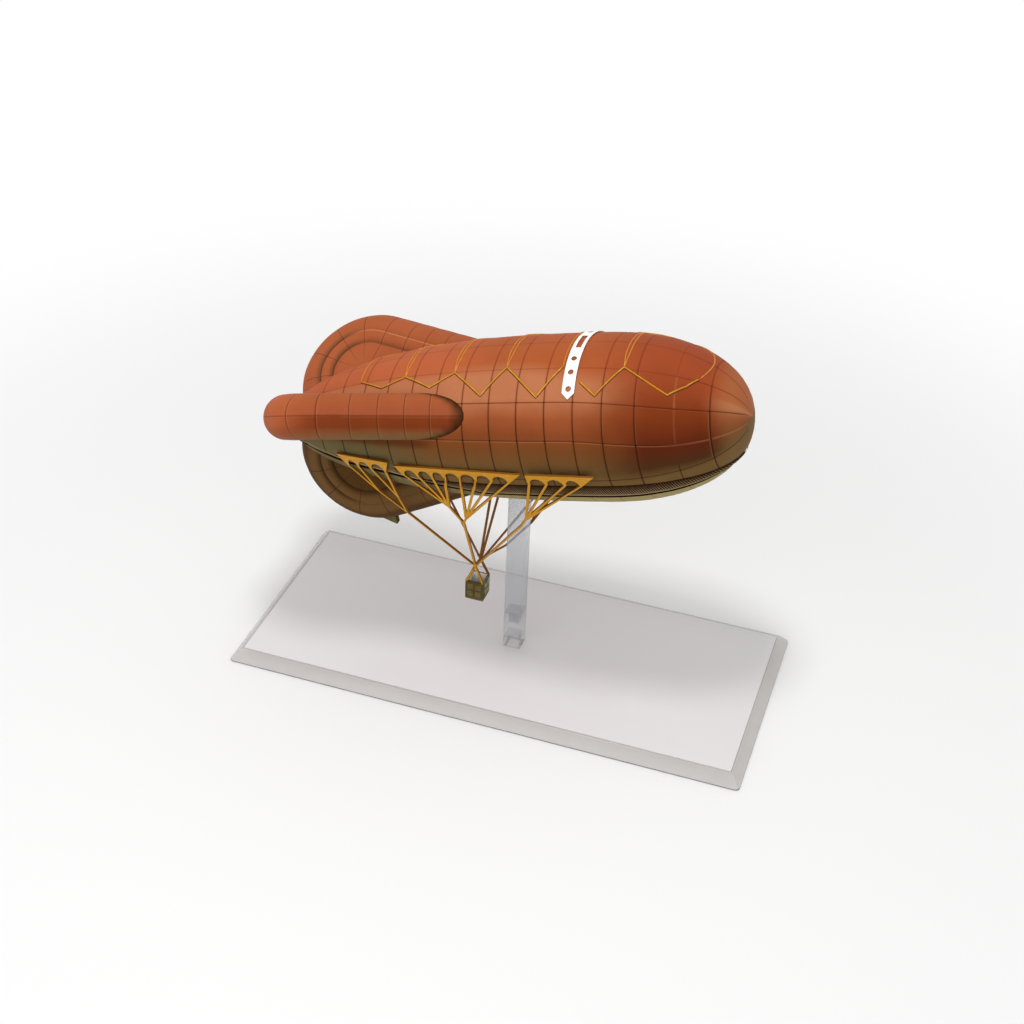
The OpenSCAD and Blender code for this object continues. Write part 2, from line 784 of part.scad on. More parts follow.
module basket_fore_wall() {
    at_basket_wall(90, basket_w / 2) basket_wall_form(basket_w - 2 * basket_wall);
}

module basket_aft_wall() {
    at_basket_wall(270, basket_w / 2) basket_wall_form(basket_w - 2 * basket_wall);
}

base_plate();
base_card();
foot_peg();
short_peg();
tall_peg();
upper_shell();
belly_shell();
stand_socket();
right_lobe();
left_lobe();
rudder_lobe();
air_scoop();
rip_strip();
right_lacing();
left_lacing();
right_girdle();
left_girdle();
top_girdle();
right_aft_web();
right_mid_web();
right_fore_web();
left_aft_web();
left_mid_web();
left_fore_web();
right_knot();
left_knot();
right_slings();
left_slings();
basket_floor();
basket_right_wall();
basket_left_wall();
basket_fore_wall();
basket_aft_wall();
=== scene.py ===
"""Painted miniature of a kite-type observation balloon on a clear peg stand, built round the packed frame."""

import math
import bmesh
import bpy
from mathutils import Matrix, Vector


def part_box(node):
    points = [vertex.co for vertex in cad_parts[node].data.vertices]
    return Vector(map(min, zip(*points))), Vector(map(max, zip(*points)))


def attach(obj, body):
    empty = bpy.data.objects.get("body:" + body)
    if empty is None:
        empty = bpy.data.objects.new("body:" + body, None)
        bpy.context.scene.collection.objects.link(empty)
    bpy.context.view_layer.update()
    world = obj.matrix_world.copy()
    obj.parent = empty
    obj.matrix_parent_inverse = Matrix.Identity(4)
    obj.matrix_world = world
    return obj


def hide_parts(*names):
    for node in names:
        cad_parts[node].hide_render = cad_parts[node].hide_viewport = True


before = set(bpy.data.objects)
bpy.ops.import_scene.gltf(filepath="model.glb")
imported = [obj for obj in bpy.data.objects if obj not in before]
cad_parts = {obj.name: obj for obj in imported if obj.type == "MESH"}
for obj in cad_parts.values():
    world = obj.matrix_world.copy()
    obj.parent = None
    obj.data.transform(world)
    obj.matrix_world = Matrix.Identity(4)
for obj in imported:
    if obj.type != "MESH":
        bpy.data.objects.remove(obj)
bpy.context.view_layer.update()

bl_info = {
    "name": "Observation Balloon Miniature",
    "version": (1, 0, 0),
    "blender": (4, 5, 0),
    "location": "View3D > Sidebar > Balloon",
    "description": "Builds a painted kite balloon miniature on its clear peg stand",
    "category": "Object",
}

MM = 0.001
# Shape of the envelope's side line: a power curve over the nose, and a closing curve to the tail
NOSE_POWER = 2.21
TAIL_POWER = 2.5
TAIL_CLOSE = 0.6
# Points of a mesh closer than this become one
SKIN_WELD = 0.002 * MM
LOBE_WELD = 0.001 * MM
CORD_WELD = 0.0001 * MM
# Faces of a CAD node's mesh that count as flat, and edges that are rounded
FLAT_ANGLE = math.radians(0.6)
EDGE_ANGLE = math.radians(35)
# Gloss of matt paint, tinted so that it doesn't grey dark colours
MATT = 0.06
WARM_GLOSS = (1.0, 0.6, 0.35, 1.0)
# Weave of the basket, in radians to the metre
WEAVE = 7000


def srgb(red, green, blue):
    """A colour written as display values from 0 to 255, as linear light."""
    def linear(v):
        v /= 255
        return v / 12.92 if v <= 0.04045 else ((v + 0.055) / 1.055) ** 2.4
    return (linear(red), linear(green), linear(blue))


def length(name, default, description):
    return bpy.props.FloatProperty(
        name=name, description=description, default=default, unit="LENGTH", subtype="DISTANCE", min=0,
        precision=5)


def angle(name, default, description):
    return bpy.props.FloatProperty(
        name=name, description=description, default=math.radians(default), unit="ROTATION", subtype="ANGLE")


def colour(name, default, description):
    return bpy.props.FloatVectorProperty(
        name=name, description=description, default=default, subtype="COLOR", size=3, min=0, max=1)


def share(name, default, description, high=1.0):
    return bpy.props.FloatProperty(
        name=name, description=description, default=default, subtype="FACTOR", min=0, max=high)


def point(name, default, description):
    return bpy.props.FloatVectorProperty(
        name=name, description=description, default=default, unit="LENGTH", subtype="TRANSLATION", size=3)


def power(name, default, description):
    return bpy.props.FloatProperty(
        name=name, description=description, default=default, subtype="POWER", min=0)


# Settings


class EnvelopeSettings(bpy.types.PropertyGroup):
    """Sizes and paint of the envelope"""
    envelope_length: length("Length", 0.1772, "From nose to tail")
    diameter: length("Diameter", 0.059, "Greatest diameter")
    nose_length: length("Nose", 0.0512, "Length of the rounded nose")
    fore_length: length("Fore length", 0.0826, "How far the nose lies ahead of the pegs")
    pitch: angle("Pitch", 13.6, "Nose-up tilt")
    belly_step: length("Belly step", 0.0003, "How far the belly lies inside the upper shell")
    seam_width: length("Seam width", 0.0003, "Half width of a seam's line")
    seam_depth: length("Seam depth", 0.00008, "Depth of a seam's groove")
    pillow: length("Pillow", 0.00005, "How far the cloth draws in at the seams")
    crown: colour("Crown", srgb(164, 84, 45), "Paint along the back")
    # Lighter than the crown and flank: a painted highlight along the upper sides
    shoulder: colour("Shoulder", srgb(177, 110, 74), "Paint above the upper side seam")
    flank: colour("Flank", srgb(148, 77, 43), "Paint on the sides")
    rust: colour("Rust", srgb(130, 66, 34), "Paint above the lower side seam")
    earth: colour("Earth", srgb(116, 67, 31), "Paint just under the lower side seam")
    olive: colour("Olive", srgb(108, 79, 44), "Paint low on the sides")
    under: colour("Under", srgb(106, 81, 44), "Paint near the laced band")
    tail_olive: colour("Tail olive", srgb(103, 92, 58), "Paint low on the sides near the tail")
    tail_crown: colour("Tail crown", srgb(178, 91, 54), "Paint along the back near the tail")
    tip: colour("Tip", srgb(168, 122, 80), "Pale spray at the tip of the nose")
    burnt_crown: colour("Burnt crown", srgb(150, 68, 37), "Sprayed patch along the back of the nose")
    burnt_flank: colour("Burnt flank", srgb(118, 50, 20), "Sprayed patch on the sides of the nose")
    burnt_low: colour("Burnt low", srgb(87, 33, 15), "Sprayed patch under the lower side seam")
    burnt_under: colour("Burnt under", srgb(73, 43, 20), "Sprayed patch near the laced band")
    # Seam wash; also painted shadow under the side lobes and painted shade in the lobes' and rudder's creases
    seam_wash_and_shade: colour("Seam wash", srgb(34, 10, 3), "Dark wash in the lower seams")
    seam_soft: colour("Soft seam", srgb(108, 36, 14), "Wash in the seams over the back")
    # A painted highlight beside the seams and along the lobes' creases
    seam_highlight: colour("Seam light", srgb(214, 146, 104), "Light paint brushed along seam edges")
    lace_light: colour("Lacing", srgb(140, 118, 88), "Crests of the laced band")
    lace_dark: colour("Lacing wash", srgb(46, 27, 15), "Wash between the laces")
    lip: colour("Lip", srgb(150, 130, 98), "Bead along the parting line")
    # A dark strip under the bead: painted shadow of the upper shell's edge along the parting line
    groove_shadow: colour("Parting groove", srgb(26, 10, 3), "Wash in the groove under the bead")
    belly: colour("Belly", srgb(152, 137, 88), "Paint of the belly")


class LobeSettings(bpy.types.PropertyGroup):
    """Sizes and paint of the three tail lobes"""
    thickness: length("Thickness", 0.0162, "Thickness over the rim")
    rim_radius: length("Rim radius", 0.0183, "Radius of the rim's centre line round the end")
    side_centre: length("Side lobe centre", 0.0169, "From the axis to a side lobe's round end")
    rudder_centre: length("Rudder centre", 0.0152, "From the axis to the rudder's round end")
    back: length("Back", 0.147, "From the nose to the centre of the round ends")
    run: length("Run", 0.062, "Length of the straight rim run into the envelope")
    slope: angle("Slope", 16.7, "Slope of the leading edge")
    spread: angle("Spread", 121, "Angle between the rudder and a side lobe")
    ring_step: length("Ring step", 0.0026, "Step in from the rim's crown to the second ring's")
    ring_drop: length("Ring drop", 0.0002, "How much lower the second ring's crown lies")
    flat: length("Flat half", 0.0069, "Half thickness of the flat middle")
    top_paint: colour("Side lobe top", srgb(159, 84, 48), "Upper faces of the side lobes")
    rim_paint: colour("Side lobe rim", srgb(153, 78, 48), "Rim of the side lobes")
    low_paint: colour("Side lobe low", srgb(121, 54, 24), "Just under the rim's seam")
    blush_paint: colour("Side lobe blush", srgb(208, 112, 80), "Pink tint of the left lobe")
    aft_paint: colour("Side lobe aft end", srgb(181, 95, 56), "Paler end of the near side lobe")
    olive_paint: colour("Side lobe olive", srgb(113, 90, 53), "Lower edge of the side lobes")
    # Painted shade in the creases of the side lobes
    shade_paint: colour("Side lobe shade", srgb(98, 68, 46), "Wash in the creases of the side lobes")
    # Painted shade where a lobe runs into the envelope
    junction_shade: colour("Side lobe end", srgb(44, 28, 12), "Dark spray where a lobe runs into the envelope")
    rudder_paint: colour("Rudder", srgb(79, 53, 23), "Paint of the rudder")
    # Painted highlight on the rudder's crowns and along its creases
    rudder_highlight: colour("Rudder light", srgb(140, 105, 66), "Crowns of the rudder's rim and ring")
    # Painted shade in the rudder's creases
    rudder_shade: colour("Rudder shade", srgb(60, 42, 20), "Wash in the rudder's creases")


class RiggingSettings(bpy.types.PropertyGroup):
    """Sizes and paint of cords, webs and basket"""
    cord_width: length("Cord width", 0.00052, "Width of a moulded girdle cord")
    cord_pair: length("Cord pair", 0.00075, "Gap between the two cords of a strap")
    lip_width: length("Lip width", 0.0006, "Width of the bead along the parting line")
    line_width: length("Line width", 0.0008, "Width of a lead line at the knot")
    gold: colour("Gold", srgb(192, 133, 0), "Paint of the cords and webs")
    gold_light: colour("Gold light", srgb(222, 168, 66), "Worn edges of the cords and webs")
    # Painted shade on the inner faces of the webs and the walls of their slots
    gold_shade: colour("Gold shade", srgb(106, 54, 12), "Brown wash on the inner faces and walls of the webs")
    # Painted shadow under the girdle cords, and painted shade on the white strip's edges and hole walls
    shade_brown: colour("Cord wash", srgb(92, 42, 20), "Dark line under a girdle cord")
    cord_worn: colour("Worn cord", srgb(190, 106, 56), "Cords over the back, thinly painted")
    white: colour("White", srgb(244, 240, 236), "Paint of the strip")
    basket: colour("Basket", srgb(97, 79, 31), "Paint of the basket")
    basket_worn: colour("Basket worn", srgb(196, 198, 156), "Light paint brushed over the basket's fore wall")
    # Also painted shade on the inner faces of the right and fore walls
    basket_wash_and_shade: colour("Basket wash", srgb(48, 38, 20), "Wash inside the basket and between its squares")
    # Near white: also a painted highlight on the inner faces of the floor and of the aft and left walls
    basket_floor: colour("Basket floor", srgb(255, 255, 244), "Paint of the basket's floor")


class StandSettings(bpy.types.PropertyGroup):
    """Finish of the clear stand"""
    peg_tint: colour("Peg tint", srgb(158, 160, 165), "Tint of the clear pegs")
    plate_tint: colour("Plate tint", srgb(227, 222, 219), "Tint of the clear plate")
    # Painted shade: the plate's thin upright edges are coloured darker
    edge_shade: colour("Edge tint", srgb(140, 140, 142), "Tint of the plate's thin upright edges")
    card: colour("Card", srgb(228, 224, 225), "Colour of the card")
    peg_cover: share("Peg cover", 0.4, "How much of what lies behind a peg's face it hides")
    # Painted light: the clear pegs glow faintly by emission
    peg_glow: share("Peg glow", 0.14, "Light that the clear pegs gather from the room")
    # Painted light: the pegs' ends inside the plate glow in the card's colour
    sunk_glow: share("Sunk glow", 0.55, "Light on the end of the pegs inside the plate")
    plate_cover: share("Plate cover", 0.6, "How much of what lies under the plate's edge it hides")
    edge_round: length("Edge round", 0.00015, "Rounding of the moulded edges")


class StageSettings(bpy.types.PropertyGroup):
    """Camera, floor and light"""
    camera_turn: angle("Camera turn", 16.79, "How far round from the front the camera stands")
    camera_rise: angle("Camera rise", 33.77, "How far above level the camera stands")
    camera_roll: angle("Camera roll", 2.75, "Roll of the camera")
    camera_place: point("Camera place", (0.1535, -0.492, 0.4311), "Where the camera stands")
    focal: bpy.props.FloatProperty(
        name="Focal length", description="For a sensor 36 mm wide", default=60.81, unit="CAMERA")
    shift_x: bpy.props.FloatProperty(
        name="Shift X", description="Sideways shift of the frame", default=-0.0225)
    shift_y: bpy.props.FloatProperty(
        name="Shift Y", description="Upward shift of the frame", default=-0.0453)
    floor: colour("Floor", srgb(246, 246, 246), "Colour of the floor")
    world_level: share("World level", 0.72, "Strength of the light from all round", 2)
    key_place: point("Key place", (-0.005, -0.118, 0.6), "Where the lamp above stands")
    key_size: length("Key size", 0.09, "Side of the lamp above")
    key_level: power("Key", 1.0, "Power of the lamp above")
    fill_place: point("Fill place", (-0.06, -0.6, 0.45), "Where the front lamp stands")
    fill_size: length("Fill size", 0.6, "Side of the front lamp")
    fill_level: power("Fill", 0.9, "Power of the front lamp")


SETTINGS = {
    "balloon_envelope": EnvelopeSettings,
    "balloon_lobes": LobeSettings,
    "balloon_rigging": RiggingSettings,
    "balloon_stand": StandSettings,
    "balloon_stage": StageSettings,
}


def settings(name):
    return getattr(bpy.context.scene, "balloon_" + name)


# Shader maths


def sums(operation):
    """A Math node for an operator, and for the same operator with the number on its left."""
    def plain(self, other):
        return self.maths(operation, other)

    def turned(self, other):
        return self.finish.node("ShaderNodeMath", {"operation": operation}, {0: other, 1: self})
    return plain, turned


class Value:
    """A number or colour that varies over a surface; sums on it add Math nodes to its finish."""
    __add__, __radd__ = sums("ADD")
    __sub__, __rsub__ = sums("SUBTRACT")
    __mul__, __rmul__ = sums("MULTIPLY")
    __truediv__, __rtruediv__ = sums("DIVIDE")
    __pow__, __rpow__ = sums("POWER")
    lesser = sums("MINIMUM")[0]
    greater = sums("MAXIMUM")[0]

    def __init__(self, finish, socket):
        self.finish = finish
        self.socket = socket

    def maths(self, operation, *others):
        return self.finish.node("ShaderNodeMath", {"operation": operation}, dict(enumerate((self,) + others)))

    def __abs__(self):
        return self.maths("ABSOLUTE")

    def rise(self, low, high):
        """0 below low, 1 above high, smooth between; falls instead where low is above high."""
        flip = float(low > high)
        sockets = {0: self, 1: min(low, high), 2: max(low, high), 3: flip, 4: 1.0 - flip}
        return self.finish.node("ShaderNodeMapRange", {"interpolation_type": "SMOOTHSTEP"}, sockets)

    def hump(self, middle, reach):
        """1 at the middle, falling smoothly to 0 at reach on both sides."""
        return abs(self - middle).rise(reach, 0.0)


class Nodes:
    """A node tree that values and shaders are added to."""

    def __init__(self, tree):
        self.nodes = tree.nodes
        self.links = tree.links
        self.nodes.clear()

    def put(self, socket, value):
        if isinstance(value, Value):
            self.links.new(value.socket, socket)
        elif socket.type == "RGBA" and len(value) == 3:
            socket.default_value = tuple(value) + (1.0,)
        else:
            socket.default_value = value

    def add(self, kind, setup=None, sockets=None):
        """Any node, from its type, its settings, such as a ramp's stops, and its sockets' values or links."""
        node = self.nodes.new(kind)
        for key, value in (setup or {}).items():
            if key == "stops":
                self.fill_ramp(node.color_ramp.elements, value)
            else:
                setattr(node, key, value)
        for key, value in (sockets or {}).items():
            self.put(node.inputs[key], value)
        return node

    def node(self, kind, setup=None, sockets=None, out=0):
        """A node as above, as the value of one of its outputs."""
        return Value(self, self.add(kind, setup, sockets).outputs[out])

    def fill_ramp(self, elements, stops):
        elements[0].position = stops[0][0]
        elements[-1].position = stops[-1][0]
        for stop in stops[1:-1]:
            elements.new(stop[0])
        for element, (place, paint) in zip(elements, stops):
            element.color = tuple(paint) + (1.0,)

    def ramp(self, value, stops):
        """A colour that follows a value through stops of (value, colour)."""
        low, high = stops[0][0], stops[-1][0]
        way = self.node("ShaderNodeMapRange", None, {0: value, 1: low, 2: high})
        stops = [((place - low) / (high - low), paint) for place, paint in stops]
        return self.node("ShaderNodeValToRGB", {"stops": stops}, {0: way})

    def place(self):
        """The object's own coordinates, as X, Y and Z."""
        spot = self.node("ShaderNodeTexCoord", out="Object")
        return [self.node("ShaderNodeSeparateXYZ", None, {0: spot}, out=i) for i in range(3)]

    def envelope_place(self):
        """Distance behind the nose in metres and angle above the envelope's side in degrees."""
        s = settings("envelope")
        x, y, z = self.place()
        z = z - envelope_matrix().translation.z
        along = x * math.cos(s.pitch) + z * math.sin(s.pitch)
        height = z * math.cos(s.pitch) - x * math.sin(s.pitch)
        out = (y * y + height * height) ** 0.5
        return s.fore_length - along, (height / out).maths("ARCSINE") * math.degrees(1)

    def facing(self, axis):
        """How far the surface faces along one of the object's own axes."""
        normal = self.node("ShaderNodeTexCoord", out="Normal")
        return self.node("ShaderNodeSeparateXYZ", None, {0: normal}, out=axis)

    def noise(self, scale, detail=3.0, roughness=0.5, stretch=(1, 1, 1)):
        spot = self.node("ShaderNodeTexCoord", out="Object")
        spot = self.node("ShaderNodeMapping", None, {0: spot, 3: stretch})
        sockets = {"Vector": spot, "Scale": scale, "Detail": detail, "Roughness": roughness}
        return self.node("ShaderNodeTexNoise", None, sockets)

    def attribute(self, name):
        return self.node("ShaderNodeAttribute", {"attribute_name": name}, out="Fac")

    def mix(self, factor, first, second, blend="MIX"):
        setup = {"data_type": "RGBA", "blend_type": blend}
        return self.node("ShaderNodeMix", setup, {0: factor, 6: first, 7: second}, out=2)

    def bump(self, height, distance, strength=1.0):
        sockets = {"Height": height, "Distance": distance, "Strength": strength}
        return self.node("ShaderNodeBump", None, sockets)

    def seen(self):
        """1 where the camera, a reflection or clear plastic looks, 0 where light is gathered."""
        rays = ("Is Camera Ray", "Is Glossy Ray", "Is Transmission Ray")
        camera, glossy, clear = (self.node("ShaderNodeLightPath", out=ray) for ray in rays)
        return camera.greater(glossy).greater(clear)


class Finish(Nodes):
    """A material made of one principled shader and the nodes that feed it."""

    def __init__(self, name, **constants):
        self.material = bpy.data.materials.new(name)
        self.material.use_nodes = True
        super().__init__(self.material.node_tree)
        self.shader = self.add("ShaderNodeBsdfPrincipled")
        self.output = self.add("ShaderNodeOutputMaterial", None, {0: Value(self, self.shader.outputs[0])})
        self.set(**constants)

    def set(self, **sockets):
        """Sets or links the shader's sockets by name, with underscores for spaces."""
        for name, value in sockets.items():
            self.put(self.shader.inputs[name.replace("_", " ")], value)


# Finishes


def scaled(paint, factor):
    return tuple(factor * c for c in paint)


def matt(name):
    """A finish of matt paint."""
    return Finish(name, Specular_IOR_Level=MATT, Specular_Tint=WARM_GLOSS)


def brushed(paint, finish, amount):
    """Paint with the uneven cover of a brush: large soft patches and a fine grain."""
    patch = finish.noise(90, 4, 0.55)
    grain = finish.noise(1800, 2, 0.6)
    tone = patch.rise(0.25, 0.75) * 0.7 + grain * 0.3
    cover = finish.mix(tone, (1 - amount,) * 3, (1 + amount,) * 3)
    return finish.mix(1.0, paint, cover, "MULTIPLY")


def satin(finish, rough=0.5):
    """The satin face of brushed paint: slightly uneven gloss and a fine grain."""
    finish.set(
        Roughness=finish.noise(240, 3) * 0.14 + rough,
        Normal=finish.bump(finish.noise(2600, 2, 0.6) + finish.noise(420, 3) * 1.2, 0.00003, 0.4))
    return finish.material


def envelope_finish():
    """Airbrushed envelope: salmon back, rust sides, olive below, burnt nose and washed seams, with a painted
    highlight along the upper sides and beside the seams, and painted shadow under the side lobes.
    """
    s = settings("envelope")
    finish = matt("envelope_paint")
    back, above = finish.envelope_place()
    cloud = finish.noise(45, 3, 0.5) - 0.5
    level = above + cloud * 7 + (
        (back.rise(0.08, 0.045) + back.rise(0.02, 0.008)) * above.rise(36, 52) * 9)
    # The shoulder band stands lighter as a painted highlight along the upper sides
    plain = finish.ramp(level, [
        (-18, s.under), (-6, s.olive), (8, s.earth), (18, s.rust), (29, s.flank), (43, s.shoulder),
        (60, s.shoulder), (72, s.crown), (90, s.crown)])
    burnt = finish.ramp(level, [
        (-20, s.under), (-9, s.burnt_under), (6, s.burnt_low), (30, s.burnt_flank), (80, s.burnt_crown)])
    patch = (back + cloud * 0.01).rise(0.002, 0.013) * (back + cloud * 0.012).rise(0.056, 0.027)
    paint = finish.mix(patch, plain, burnt)
    paint = finish.mix(back.rise(0.1, 0.14) * level.rise(14, -2), paint, s.tail_olive)
    paint = finish.mix(back.rise(0.085, 0.11) * above.rise(55, 70), paint, s.tail_crown)
    paint = finish.mix(back.rise(0.011, 0.004) * (above.rise(-20, 70) * 0.16 + 0.1), paint, s.tip)
    # Painted shadow of the side lobes on the envelope just under them
    paint = finish.mix(back.rise(0.104, 0.113) * above.hump(10, 6) * 0.4, paint, s.seam_wash_and_shade)
    paint = brushed(paint, finish, 0.05)
    wash = finish.mix(above.rise(20, 62), s.seam_wash_and_shade, s.seam_soft)
    # Painted highlight beside the seams
    paint = finish.mix(finish.attribute("light") * 0.37, paint, s.seam_highlight)
    paint = finish.mix(finish.attribute("dark"), paint, wash)
    finish.set(Base_Color=paint)
    return satin(finish)


def belly_finish():
    """Belly paint: pale, duller towards the tail."""
    s = settings("envelope")
    finish = matt("belly_paint")
    back = finish.envelope_place()[0]
    paint = brushed(finish.mix(back.rise(0.07, 0.14), s.belly, s.tail_olive), finish, 0.08)
    paint = finish.mix(finish.attribute("dark") * 0.6, paint, s.lace_dark)
    finish.set(Base_Color=paint)
    return satin(finish)


def lobe_finish(name, blush, aft):
    """Side lobe paint: lighter on top, rust under the rim's seam, olive low down, painted shade in the
    creases and at the body, and painted highlight lines.
    """
    s = settings("lobes")
    e = settings("envelope")
    finish = matt(name)
    cloud = finish.noise(60, 3, 0.5) - 0.5
    face = finish.attribute("face") + cloud * 0.25
    run = finish.attribute("run")
    paint = finish.ramp(face, [
        (-1.0, s.rim_paint), (-0.5, s.low_paint), (-0.12, s.low_paint), (0.08, s.rim_paint),
        (0.3, s.rim_paint), (0.7, s.top_paint), (1.0, s.top_paint)])
    paint = finish.mix(face.rise(-0.45, -0.95) * run.rise(-0.03, 0.015) * 0.85, paint, s.olive_paint)
    paint = finish.mix(run.rise(0.0, -0.017) * face.rise(-1.0, -0.3) * aft, paint, s.aft_paint)
    paint = brushed(finish.mix(blush, paint, s.blush_paint), finish, 0.06)
    # Painted shade in the creases
    paint = finish.mix(finish.attribute("shade"), paint, s.shade_paint)
    # Painted highlight lines along the creases and the seams' fore lips
    paint = finish.mix(finish.attribute("light") * 0.65, paint, e.seam_highlight)
    # Dark seams, and painted shade in the creases
    paint = finish.mix(finish.attribute("dark") * 0.7, paint, e.seam_wash_and_shade)
    # Painted shade where the lobe runs into the envelope
    paint = finish.mix(finish.attribute("near_body") * run.rise(0.018, 0.034), paint, s.junction_shade)
    finish.set(Base_Color=paint)
    return satin(finish)


def rudder_finish():
    """Rudder paint: olive brown, with painted highlights on its crowns and painted shade in its creases."""
    s = settings("lobes")
    finish = matt("rudder_paint")
    paint = brushed(s.rudder_paint, finish, 0.1)
    # Painted highlight on the crowns of the rim and ring
    paint = finish.mix(finish.attribute("crown") * 0.34, paint, s.rudder_highlight)
    # Painted shade in the creases
    paint = finish.mix(finish.attribute("shade"), paint, s.rudder_shade)
    # Painted highlight lines along the creases
    paint = finish.mix(finish.attribute("light") * 0.3, paint, s.rudder_highlight)
    # Dark seams, and painted shade in the creases
    paint = finish.mix(finish.attribute("dark") * 0.8, paint, settings("envelope").seam_wash_and_shade)
    finish.set(Base_Color=paint)
    return satin(finish)


def lace_finish():
    """Laced band: worn light crests over a dark wash."""
    s = settings("envelope")
    finish = Finish("laced_band", Specular_IOR_Level=0.0, Specular_Tint=WARM_GLOSS)
    worn = finish.noise(700, 3, 0.6)
    crest = finish.attribute("crest") + (worn - 0.5) * 0.3
    finish.set(Base_Color=finish.mix(crest.rise(0.1, 0.9), s.lace_dark, s.lace_light))
    return satin(finish, 0.55)


def plain_finish(name, paint, amount=0.1):
    """One brushed colour."""
    finish = Finish(name, Specular_IOR_Level=0.0)
    finish.set(Base_Color=brushed(paint, finish, amount))
    return satin(finish)


def cord_finish():
    """Gold paint of the girdle cords, thin over the back, with a dark line of painted shadow at their foot.
    """
    s = settings("rigging")
    finish = Finish("cord_paint", Specular_IOR_Level=0.16)
    worn = finish.noise(420, 3, 0.6).rise(0.45, 0.7)
    paint = finish.mix(worn * 0.6, s.gold, s.gold_light)
    above = finish.envelope_place()[1]
    paint = finish.mix(above.rise(60, 72) * 0.6, paint, s.cord_worn)
    # Painted shadow: the dark strip at the cord's foot
    finish.set(Base_Color=finish.mix(finish.attribute("wash"), paint, s.shade_brown))
    return satin(finish, 0.42)


def broad_side(node):
    """The direction in which the broadest face of a CAD node looks."""
    return max(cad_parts[node].data.polygons, key=lambda face: face.area).normal.copy()


def web_finish(name, side, broad=None):
    """Gold paint of the webs and lines, with brown painted shade on their inner faces and on the walls of
    their slots.
    """
    s = settings("rigging")
    finish = Finish(name, Specular_IOR_Level=0.16)
    streak = finish.noise(520, 4, 0.6, (1, 1, 2.5)).rise(0.45, 0.75)
    inward = (finish.facing(1) * side).rise(-0.05, -0.45)
    if broad:
        wall = abs(sum(finish.facing(axis) * broad[axis] for axis in range(3))).rise(0.8, 0.4)
    else:
        wall = abs(finish.facing(0)).rise(0.35, 0.7)
    paint = finish.mix(streak * 0.35, s.gold, s.gold_light)
    # Painted shade: brown on the inner faces and on the walls of the slots
    finish.set(Base_Color=finish.mix(inward.greater(wall) * 0.85, paint, s.gold_shade))
    return satin(finish, 0.42)


def white_finish():
    """White strip, with painted shade on its edges and the walls of its holes."""
    s = settings("rigging")
    finish = Finish("white_paint", Specular_IOR_Level=0.3)
    wear = finish.noise(700, 4, 0.6).rise(0.55, 0.8)
    y, z = finish.place()[1:]
    z = z - envelope_matrix().translation.z
    out = (finish.facing(1) * y + finish.facing(2) * z) / (y * y + z * z) ** 0.5
    paint = finish.mix(wear * 0.1, s.white, s.basket_floor)
    # Painted shade on the edges and the walls of the holes
    finish.set(Base_Color=finish.mix(out.rise(0.75, 0.35) * 0.8, paint, s.shade_brown))
    return satin(finish, 0.45)


def basket_finish(name, paint, worn_paint, worn, inside=None):
    """Basket paint: worn on its raised squares, with a dark wash between them, and one colour inside: painted
    shade, or a painted highlight where a pale colour is given.
    """
    s = settings("rigging")
    finish = Finish(name, Specular_IOR_Level=0.2)
    x, y, z = finish.place()
    weave = ((x + y) * WEAVE).maths("SINE") * (z * WEAVE).maths("SINE")
    patches = finish.noise(900, 3, 0.6).rise(0.35, 0.65)
    paint = finish.mix(patches * worn, paint, worn_paint)
    paint = finish.mix(weave.rise(-0.8, 0.8) * 0.12, paint, s.basket_wash_and_shade)
    paint = finish.mix(finish.attribute("wash"), paint, s.basket_wash_and_shade)
    # Inner faces: painted shade, or a painted highlight where a pale colour is given
    paint = finish.mix(finish.attribute("inside"), paint, inside or s.basket_wash_and_shade)
    finish.set(Base_Color=paint, Roughness=0.6 + patches * 0.1, Normal=finish.bump(weave, 0.00005, 0.5))
    return finish.material


def clear_finish(name, cover, tint, edge_shade=None):
    """Clear moulded plastic: what lies behind shows, less where it is seen at a slant, more near the card;
    upright edges get painted shade, and pegs a painted glow, in the card's colour at their sunk ends.
    """
    s = settings("stand")
    finish = Finish(name, Specular_IOR_Level=0.5, IOR=1.49, Coat_Weight=0.2, Coat_Roughness=0.25)
    rim = finish.node("ShaderNodeLayerWeight", None, {"Blend": 0.35}, out="Facing")
    haze = finish.noise(160, 3)
    paint = tint
    if edge_shade:
        # Painted shade on the plate's upright edges
        paint = finish.mix(finish.facing(2).rise(0.35, 0.1), tint, edge_shade)
    else:
        z = finish.place()[2]
        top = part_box("base_card")[1].z
        sunk = z.rise(top + 0.05 * MM, top - 0.05 * MM)
        paint = finish.mix(sunk, tint, (0, 0, 0))
        cover = z.rise(top, top + 0.02) * (cover * 0.75) + cover * 0.25 + sunk
        # Painted light: a faint glow on the pegs, and a glow in the card's colour on their ends inside the
        # plate
        glow = finish.mix(sunk, scaled(tint, s.peg_glow), scaled(s.card, s.sunk_glow))
        finish.set(Emission_Color=glow, Emission_Strength=1.0)
    finish.set(
        Base_Color=paint,
        Alpha=(rim.rise(0.4, 1.0) * 0.2 + haze * 0.05 + cover).lesser(1.0),
        Roughness=haze * 0.08 + 0.18,
        Normal=finish.bump(finish.noise(60, 2), 0.00006, 0.3))
    return finish.material


def card_finish():
    """Smooth card: fine fibres and faint clouds of tone."""
    s = settings("stand")
    finish = Finish("printed_card", Specular_IOR_Level=0.25, Coat_Weight=0.3, Coat_Roughness=0.2)
    fibre = finish.noise(1500, 4, 0.6)
    tone = finish.noise(14, 2)
    finish.set(
        Base_Color=finish.mix(tone * 0.4 + fibre * 0.2, s.card, scaled(s.card, 0.95)),
        Roughness=fibre * 0.12 + 0.5,
        Normal=finish.bump(fibre, 0.00002, 0.35))
    return finish.material


# Meshes


